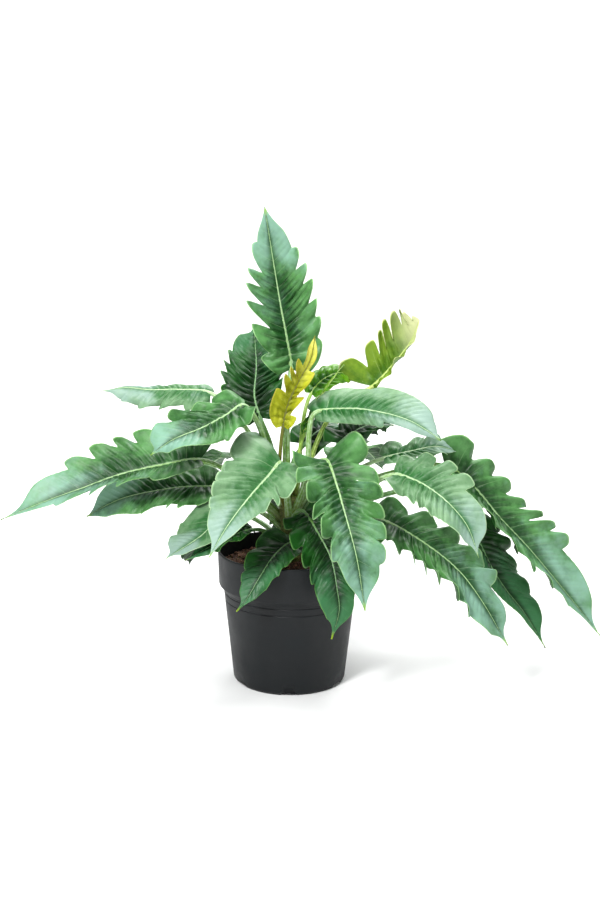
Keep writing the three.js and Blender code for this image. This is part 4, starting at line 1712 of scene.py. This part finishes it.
LEAVES = (
    LeafShape(
        "leaf_top", Finish.MID, node=118, stalk_radius=7,
        offset=(-7, -4),
        stalk=((-8, -5, 180), (-8, -4, 265)),
        rib=((0, 10, 340), (-8, 16, 390), (-20, 22, 450), (-32, 22, 520), (-50, 15, 630)),
        face=((0.1, -1, 0.1), (0, -1, 0.1)),
        half_width=(78, 86), fold=20, curl=-0.2, teeth=8, notch=0.34,
        left=((0.1, 0.35), (0.2, 0.55), (0.33, 0.5), (0.44, 0.45), (0.54, 0.5), (0.73, 0.2)),
        right=((0.11, 0.15), (0.17, 0.15), (0.24, 0.25), (0.37, 0.28), (0.49, 0.33), (0.62, 0.15)),
        widest=0.3, taper=1.5, drip=0.3, ruffle=8, pleat=4.5,
    ),
    LeafShape(
        "leaf_back_left_upright", Finish.DARK, node=84, stalk_radius=6,
        stalk=((-22, 26, 118), (-38, 34, 190)),
        rib=((-58, 50, 240), (-70, 85, 275), (-68, 130, 325), (-75, 185, 395)),
        face=((0.1, -0.8, 0.6), (0, -0.85, 0.5)),
        half_width=(80, 80), fold=10, curl=-0.2, teeth=6, notch=0.2,
        left=((0.12, 0.1), (0.2, 0.15), (0.28, 0.2), (0.36, 0.2), (0.5, 0.12)),
        right=((0.14, 0.12), (0.22, 0.16), (0.34, 0.15), (0.5, 0.12)),
        widest=0.35, taper=1.6, pleat=6.5,
    ),
    LeafShape(
        "leaf_left_curled", Finish.PALE, node=78, stalk_radius=5,
        stalk=((-32, 12, 112), (-58, 20, 185), (-105, 30, 250)),
        rib=((-150, 32, 290), (-207, 45, 293), (-264, 52, 291), (-311, 55, 294), (-355, 50, 288)),
        face=((-0.1, -0.5, 0.85), (0, -0.5, 0.85)),
        half_width=(56, 46), fold=0, curl=-1.0, teeth=5, notch=0.2,
        ruffle=5, pleat=2.0,
    ),
    LeafShape(
        "leaf_left_middle", Finish.MID, node=86, stalk_radius=6,
        stalk=((-34, -8, 122), (-46, -14, 200), (-64, -18, 250)),
        rib=((-85, -25, 278), (-120, -55, 262), (-160, -82, 245), (-205, -105, 230), (-245, -125, 205)),
        face=((-0.1, -0.55, 0.8), (-0.3, -0.6, 0.7)),
        half_width=(68, 90), fold=10, curl=-0.4, teeth=6, notch=0.25,
        left=((0.12, 0.25), (0.25, 0.12)),
        right=((0.1, 0.3), (0.17, 0.3), (0.26, 0.25), (0.36, 0.15)),
        widest=0.33, taper=1.6, pleat=4.5, ruffle=13,
    ),
    LeafShape(
        "leaf_left_long", Finish.MID, node=64, stalk_radius=6,
        stalk=((-65, -5, 110), (-115, -10, 150)),
        rib=(
            (-165, -10, 172), (-230, -20, 165), (-310, -30, 148),
            (-385, -42, 122), (-435, -50, 105), (-525, -65, 70),
        ),
        face=((0, -0.6, 0.8), (-0.1, -0.6, 0.8)),
        half_width=(52, 92), fold=18, curl=-0.2, teeth=9, notch=0.36,
        left=((0.2, 0.3), (0.37, 0.5), (0.52, 0.6), (0.7, 0.3)),
        right=((0.1, 0.3), (0.19, 0.3), (0.27, 0.25), (0.39, 0.3), (0.52, 0.22)),
        widest=0.2, taper=1.9, heart=(0.35, 0.8),
    ),
    LeafShape(
        "leaf_left_lower", Finish.MID, node=48, stalk_radius=5.5,
        stalk=((-50, 20, 78), (-95, 26, 102)),
        rib=((-135, 25, 112), (-190, 22, 113), (-240, 16, 108), (-315, 8, 92), (-380, 0, 60)),
        face=((0, -0.55, 0.8), (-0.1, -0.55, 0.8)),
        half_width=(66, 74), fold=5, curl=-0.2, teeth=6, notch=0.18,
        left=((0.12, 0.15), (0.19, 0.18), (0.26, 0.2), (0.45, 0.08)),
        right=((0.15, 0.1), (0.3, 0.06)),
        widest=0.32, taper=1.9, drip=0.3,
    ),
    LeafShape(
        "leaf_front_left_big", Finish.PALE, node=60, stalk_radius=7,
        stalk=((-6, -34, 112), (-10, -44, 145)),
        rib=(
            (-16, -60, 180), (-40, -100, 162), (-65, -140, 142),
            (-90, -180, 118), (-112, -215, 92), (-135, -245, 55),
        ),
        face=((0, -0.7, 0.75), (-0.3, -0.8, 0.6)),
        half_width=(76, 90), fold=18, curl=-0.3, teeth=7, notch=0.3,
        left=((0.1, 0.25), (0.2, 0.35), (0.28, 0.28), (0.43, 0.15)),
        right=((0.1, 0.15), (0.17, 0.12), (0.28, 0.08), (0.4, 0.06), (0.52, 0.05)),
        widest=0.2, taper=1.3, drip=0.5, pleat=3.0, heart=(0.4, 0.95), sweep=(-44.0, -26.0), ruffle=9,
    ),
    LeafShape(
        "leaf_left_low", Finish.PALE, node=45, stalk_radius=5,
        stalk=((-50, -15, 72),),
        rib=((-100, -30, 95), (-130, -50, 72), (-160, -70, 45), (-225, -90, 5)),
        face=((-0.4, -0.5, 0.8), (-0.5, -0.6, 0.7)),
        half_width=(44, 80), fold=5, curl=-0.3, teeth=4, notch=0.15,
        left=((0.3, 0.08),),
        right=((0.4, 0.06),),
        widest=0.25, taper=1.5, pleat=2.0,
    ),
    LeafShape(
        "leaf_left_low_dark", Finish.DARK, node=24, stalk_radius=4.5,
        stalk=((-38, -26, 38),),
        rib=((-70, -45, 50), (-100, -60, 44), (-145, -80, 26), (-190, -90, 2)),
        face=((-0.3, -0.5, 0.8), (-0.4, -0.5, 0.8)),
        half_width=(26, 26), fold=5, curl=-0.2, teeth=4, notch=0.1,
    ),
    LeafShape(
        "leaf_front_low", Finish.DARK, node=22, stalk_radius=5,
        stalk=((0, -40, 34),),
        rib=(
            (10, -70, 38), (-8, -92, 34), (-30, -122, 20),
            (-52, -150, -8), (-75, -165, -45), (-92, -170, -66),
        ),
        face=((-0.2, -0.7, 0.7), (-0.4, -0.85, 0.3)),
        half_width=(42, 54), fold=6, curl=-0.2, teeth=4, notch=0.12,
        left=((0.28, 0.1), (0.42, 0.1), (0.62, 0.08)),
        right=((0.2, 0.12), (0.45, 0.08), (0.62, 0.08)),
        widest=0.25, taper=1.5, pleat=2.2,
    ),
    LeafShape(
        "leaf_front_middle", Finish.DARK, node=50, stalk_radius=5.5,
        stalk=((8, -35, 75),),
        rib=(
            (25, -75, 92), (52, -118, 62), (74, -150, 25),
            (84, -178, -20), (88, -190, -55), (75, -198, -105),
        ),
        face=((-0.1, -0.75, 0.65), (0.1, -1, 0.3)),
        half_width=(54, 66), fold=8, curl=-0.2, teeth=6, notch=0.22,
        left=((0.2, 0.2), (0.35, 0.2), (0.5, 0.1)),
        right=((0.08, 0.3), (0.17, 0.35), (0.28, 0.22), (0.42, 0.12)),
        widest=0.3, taper=1.7, heart=(0.8, 0.5), ruffle=12,
    ),
    LeafShape(
        "leaf_front_centre", Finish.MID, node=74, stalk_radius=6,
        stalk=((20, -30, 116), (32, -42, 160)),
        rib=(
            (62, -70, 188), (82, -130, 155), (95, -175, 118),
            (106, -208, 85), (116, -230, 48), (130, -250, -35),
        ),
        face=((0, -0.6, 0.8), (0.2, -0.95, 0.4)),
        half_width=(86, 76), fold=14, curl=-0.24, teeth=8, notch=0.36,
        left=((0.08, 0.45), (0.17, 0.6), (0.27, 0.55), (0.37, 0.35), (0.52, 0.25), (0.66, 0.12)),
        right=((0.06, 0.3), (0.13, 0.45), (0.22, 0.38), (0.33, 0.38), (0.47, 0.4), (0.61, 0.15)),
        widest=0.22, taper=1.9, drip=0.4, ruffle=17, pleat=4.2, heart=(0.7, 0.7),
    ),
    LeafShape(
        "leaf_right_blue", Finish.PALE, node=48, stalk_radius=6,
        stalk=((60, -30, 112), (140, -75, 142)),
        rib=(
            (185, -105, 170), (220, -130, 165), (246, -155, 155),
            (275, -180, 136), (305, -200, 102), (325, -215, 50),
        ),
        face=((0, -0.6, 0.8), (0.2, -0.8, 0.6)),
        half_width=(74, 66), fold=16, curl=-0.3, teeth=7, notch=0.25,
        left=((0.07, 0.2), (0.14, 0.3), (0.24, 0.3), (0.42, 0.3)),
        right=((0.12, 0.2), (0.2, 0.15), (0.28, 0.15), (0.4, 0.08)),
        widest=0.3, taper=1.4, rib_girth=0.9, ruffle=11,
    ),
    LeafShape(
        "leaf_right_top_pale", Finish.PALE, node=84, stalk_radius=6,
        stalk=((31, -14, 116), (32, -16, 170), (34, -16, 230)),
        rib=((42, -18, 262), (100, -38, 275), (150, -60, 275), (210, -90, 264), (265, -115, 235)),
        face=((0, -0.75, 0.65), (0.1, -0.75, 0.65)),
        half_width=(82, 38), fold=0, curl=-0.6, teeth=7, notch=0.15,
        left=((0.2, 0.05), (0.76, 0.1)),
        right=((0.3, 0.1), (0.5, 0.4)),
        widest=0.35, taper=1.8, drip=0.3, ruffle=3, rib_girth=0.5, wander=10,
    ),
    LeafShape(
        "leaf_right_back", Finish.PALE, node=50, stalk_radius=5,
        stalk=((70, 20, 122), (135, 32, 152)),
        rib=((175, 40, 168), (225, 52, 178), (275, 64, 185), (320, 75, 172)),
        face=((0, -0.5, 0.85), (0.2, -0.5, 0.85)),
        half_width=(44, 46), fold=8, curl=-0.2, teeth=4, notch=0.4,
        ruffle=9,
    ),
    LeafShape(
        "leaf_right_far", Finish.MID, node=44, stalk_radius=6,
        stalk=((78, 36, 92), (190, 50, 136)),
        rib=(
            (290, 60, 150), (345, 60, 110), (400, 50, 48),
            (455, 40, -8), (528, 25, -92), (595, 10, -172),
        ),
        face=((0.3, -0.6, 0.75), (0.75, -0.6, 0.35)),
        half_width=(84, 72), fold=24, curl=-0.2, teeth=9, notch=0.34,
        left=((0.08, 0.3), (0.14, 0.2), (0.2, 0.2), (0.28, 0.35), (0.36, 0.5), (0.43, 0.2), (0.52, 0.15)),
        right=((0.15, 0.3), (0.27, 0.4), (0.4, 0.45), (0.5, 0.3), (0.62, 0.4), (0.74, 0.1)),
        widest=0.4, taper=1.7, ruffle=12, heart=(0.6, 0.5),
    ),
    LeafShape(
        "leaf_right_long_dark", Finish.DARK, node=36, stalk_radius=5.5,
        stalk=((80, 6, 66), (205, 15, 110)),
        rib=(
            (285, 20, 112), (345, 10, 32), (380, 0, -35),
            (405, -10, -72), (438, -18, -112), (482, -30, -180),
        ),
        face=((0.4, -0.5, 0.75), (0.8, -0.5, 0.4)),
        half_width=(92, 50), fold=10, curl=-0.2, teeth=7, notch=0.22,
        left=((0.15, 0.2), (0.24, 0.15), (0.33, 0.1), (0.45, 0.1), (0.6, 0.06)),
        right=((0.2, 0.15), (0.5, 0.1)),
        widest=0.4, taper=1.5,
    ),
    LeafShape(
        "leaf_right_long_ruffled", Finish.MID, node=30, stalk_radius=6,
        stalk=((58, -26, 58), (112, -44, 78)),
        rib=(
            (155, -60, 78), (198, -80, 65), (268, -108, 25),
            (308, -122, -8), (345, -140, -55), (390, -155, -130),
        ),
        face=((0.2, -0.6, 0.8), (0.7, -0.7, 0.4)),
        half_width=(76, 82), fold=10, curl=-0.2, teeth=8, notch=0.26,
        left=((0.1, 0.2), (0.2, 0.15), (0.32, 0.12), (0.5, 0.15), (0.58, 0.1)),
        right=(
            (0.1, 0.35), (0.16, 0.4), (0.22, 0.35), (0.29, 0.35),
            (0.37, 0.3), (0.5, 0.25), (0.64, 0.15),
        ),
        widest=0.45, taper=1.7, ruffle=18, heart=(0.6, 0.6),
    ),
    LeafShape(
        "leaf_glossy", Finish.BRIGHT, node=88, stalk_radius=4.5,
        stalk=((14, 30, 122), (18, 34, 190), (26, 44, 255)),
        rib=((37, 58, 286), (55, 64, 308), (83, 76, 321), (118, 96, 317)),
        face=((-0.1, -0.8, 0.6), (0, -0.8, 0.6)),
        half_width=(32, 34), fold=5, curl=-0.6, teeth=4, notch=0.06,
        pleat=3.5, ruffle=3, taper=2.6, drip=0.2,
    ),
    LeafShape(
        "leaf_unfurling", Finish.YOUNG, node=82, stalk_radius=5,
        stalk=((30, 24, 112), (42, 30, 180), (88, 58, 262)),
        rib=((152, 85, 296), (178, 88, 322), (202, 94, 350), (226, 98, 384), (238, 92, 421)),
        face=((-0.6, -0.7, 0.3), (-0.5, -0.8, 0.2)),
        half_width=(72, 16), fold=25, curl=0.4, teeth=4, notch=0.2,
        left=((0.1, 0.45), (0.2, 0.55), (0.32, 0.5), (0.46, 0.55), (0.62, 0.4), (0.8, 0.6), (0.9, 0.5)),
        taper=4.0, drip=0.0, ruffle=12, rib_girth=1.3, heart=(0.95, 0.5), sweep=(-60.0, -44.0),
    ),
    LeafShape(
        "leaf_centre_right", Finish.DARK, node=70, stalk_radius=5,
        stalk=((36, 0, 104), (62, -8, 150)),
        rib=((97, -15, 205), (122, 20, 224), (158, 60, 228), (196, 105, 217)),
        face=((-0.2, -0.8, 0.6), (0.1, -0.4, 0.9)),
        half_width=(50, 44), fold=18, curl=-0.5, teeth=5, notch=0.2,
        left=((0.12, 0.4), (0.24, 0.45), (0.4, 0.3), (0.6, 0.2)),
        right=((0.15, 0.35), (0.3, 0.3), (0.5, 0.2)),
        heart=(0.8, 0.8), ruffle=13,
    ),
    LeafShape(
        "leaf_centre_dark", Finish.DARK, node=80, stalk_radius=5,
        stalk=((0, 34, 116), (6, 48, 160)),
        rib=((26, 56, 190), (44, 66, 207), (66, 96, 215), (90, 140, 213)),
        face=((0, -0.6, 0.8), (0.1, -0.4, 0.9)),
        half_width=(46, 46), fold=8, curl=-0.2, teeth=5, notch=0.2,
        ruffle=10, heart=(0.7, 0.7),
    ),
    LeafShape(
        "leaf_young_yellow", Finish.YELLOW, node=84, stalk_radius=4,
        stalk=((-20, -28, 122), (-20, -26, 175)),
        rib=((-14, -24, 240), (-4, -27, 284), (16, -30, 327), (35, -28, 363), (42, -24, 404)),
        face=((-0.1, -1, 0.1), (0, -1, 0.1)),
        half_width=(40, 34), fold=10, curl=0.6, teeth=4, notch=0.45,
        left=((0.3, 0.85), (0.42, 0.9), (0.5, 0.9), (0.62, 0.85)),
        right=((0.12, 0.8), (0.3, 0.8), (0.62, 0.8)),
        rib_girth=2.0, drip=0.2,
    ),
    LeafShape(
        "leaf_spear", Finish.BRIGHT, node=120, stalk_radius=4,
        offset=(9, 5),
        stalk=((10, 7, 122), (13, 8, 165)),
        rib=((22, 6, 215), (36, 12, 255), (55, 20, 290), (76, 24, 320), (96, 28, 345)),
        face=((-0.6, -0.7, 0.3), (-0.6, -0.7, 0.3)),
        half_width=(6, 6), fold=0, curl=0, teeth=3, notch=0,
    ),
    LeafShape(
        "leaf_rear_right_high", Finish.MID, node=76, stalk_radius=6,
        stalk=((38, 48, 100), (70, 95, 140)),
        rib=((92, 135, 150), (125, 190, 152), (155, 240, 135), (190, 300, 85)),
        face=((0.1, 0.2, 1), (0.3, 0.6, 0.8)),
        half_width=(62, 62), fold=10, curl=-0.3, teeth=7, notch=0.3,
    ),
    LeafShape(
        "leaf_rear_left_high", Finish.MID, node=66, stalk_radius=6,
        stalk=((-28, 50, 92), (-55, 100, 130)),
        rib=((-75, 140, 140), (-110, 190, 138), (-150, 240, 118), (-195, 300, 62)),
        face=((-0.1, 0.2, 1), (-0.3, 0.6, 0.8)),
        half_width=(62, 62), fold=10, curl=-0.3, teeth=7, notch=0.3,
    ),
    LeafShape(
        "leaf_rear_middle", Finish.DARK, node=40, stalk_radius=6,
        stalk=((5, 60, 62), (8, 105, 72)),
        rib=((10, 145, 60), (8, 185, 35), (4, 225, -10), (0, 265, -85)),
        face=((0, 0.5, 0.85), (0, 0.9, 0.4)),
        half_width=(64, 64), fold=8, curl=-0.3, teeth=6, notch=0.28,
    ),
    LeafShape(
        "leaf_rear_right_low", Finish.DARK, node=28, stalk_radius=5,
        stalk=((42, 48, 42), (74, 84, 55)),
        rib=((98, 118, 45), (115, 150, 18), (128, 182, -25), (138, 218, -88)),
        face=((0.3, 0.4, 0.85), (0.5, 0.8, 0.4)),
        half_width=(62, 62), fold=8, curl=-0.2, teeth=5, notch=0.24,
    ),
    LeafShape(
        "leaf_rear_left_low", Finish.DARK, node=20, stalk_radius=5,
        stalk=((-50, 40, 36), (-92, 75, 45)),
        rib=((-125, 102, 35), (-155, 130, 10), (-180, 155, -30), (-205, 185, -90)),
        face=((-0.4, 0.3, 0.85), (-0.7, 0.6, 0.4)),
        half_width=(62, 62), fold=8, curl=-0.2, teeth=5, notch=0.24,
    ),
)

SHEATHS = (
    Sheath("sheath_left", rib=((-16, -26, 4), (-24, -36, 30), (-32, -44, 72)), face=(-0.5, -0.8, 0.3)),
    Sheath("sheath_front", rib=((19, -27, 4), (27, -35, 28), (36, -44, 58)), face=(0.5, -0.8, 0.3)),
    Sheath("sheath_rear", rib=((-10, 30, 4), (-14, 40, 32), (-16, 52, 68)), face=(-0.2, 0.9, 0.3)),
)


# ---------------------------------------------------------------------------
# Build
# ---------------------------------------------------------------------------


def dress_finishes() -> dict[Finish, list[bpy.types.Material]]:
    """Build the upper, under and stalk materials of every leaf finish."""
    return {finish: [finish.value.upper(), finish.value.lower(), finish.value.stem()] for finish in Finish}


def main() -> None:
    """Build the studio and the plant."""
    logging.basicConfig(level=logging.INFO, format="%(name)s: %(message)s")
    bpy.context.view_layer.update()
    Studio().build()
    plant = PlantFrame.from_boxes()
    Pot().build(PotPlastic().material())
    soil = SoilBed()
    soil.build(SOIL.material())
    bark = BARK.material()
    soil.build_chips(bark, CHIP_SEED)
    soil.build_strands(bark, STRAND_SEED)
    Trunk().build(TRUNK.material())
    dressed = dress_finishes()
    for number, shape in enumerate(LEAVES):
        Leaf(shape, plant, LEAF_SEED + number).build(dressed)
    dry = SHEATH.material()
    for number, sheath in enumerate(SHEATHS):
        sheath.build(plant, dry, SHEATH_SEED + number)


if __name__ == "__main__":
    main()
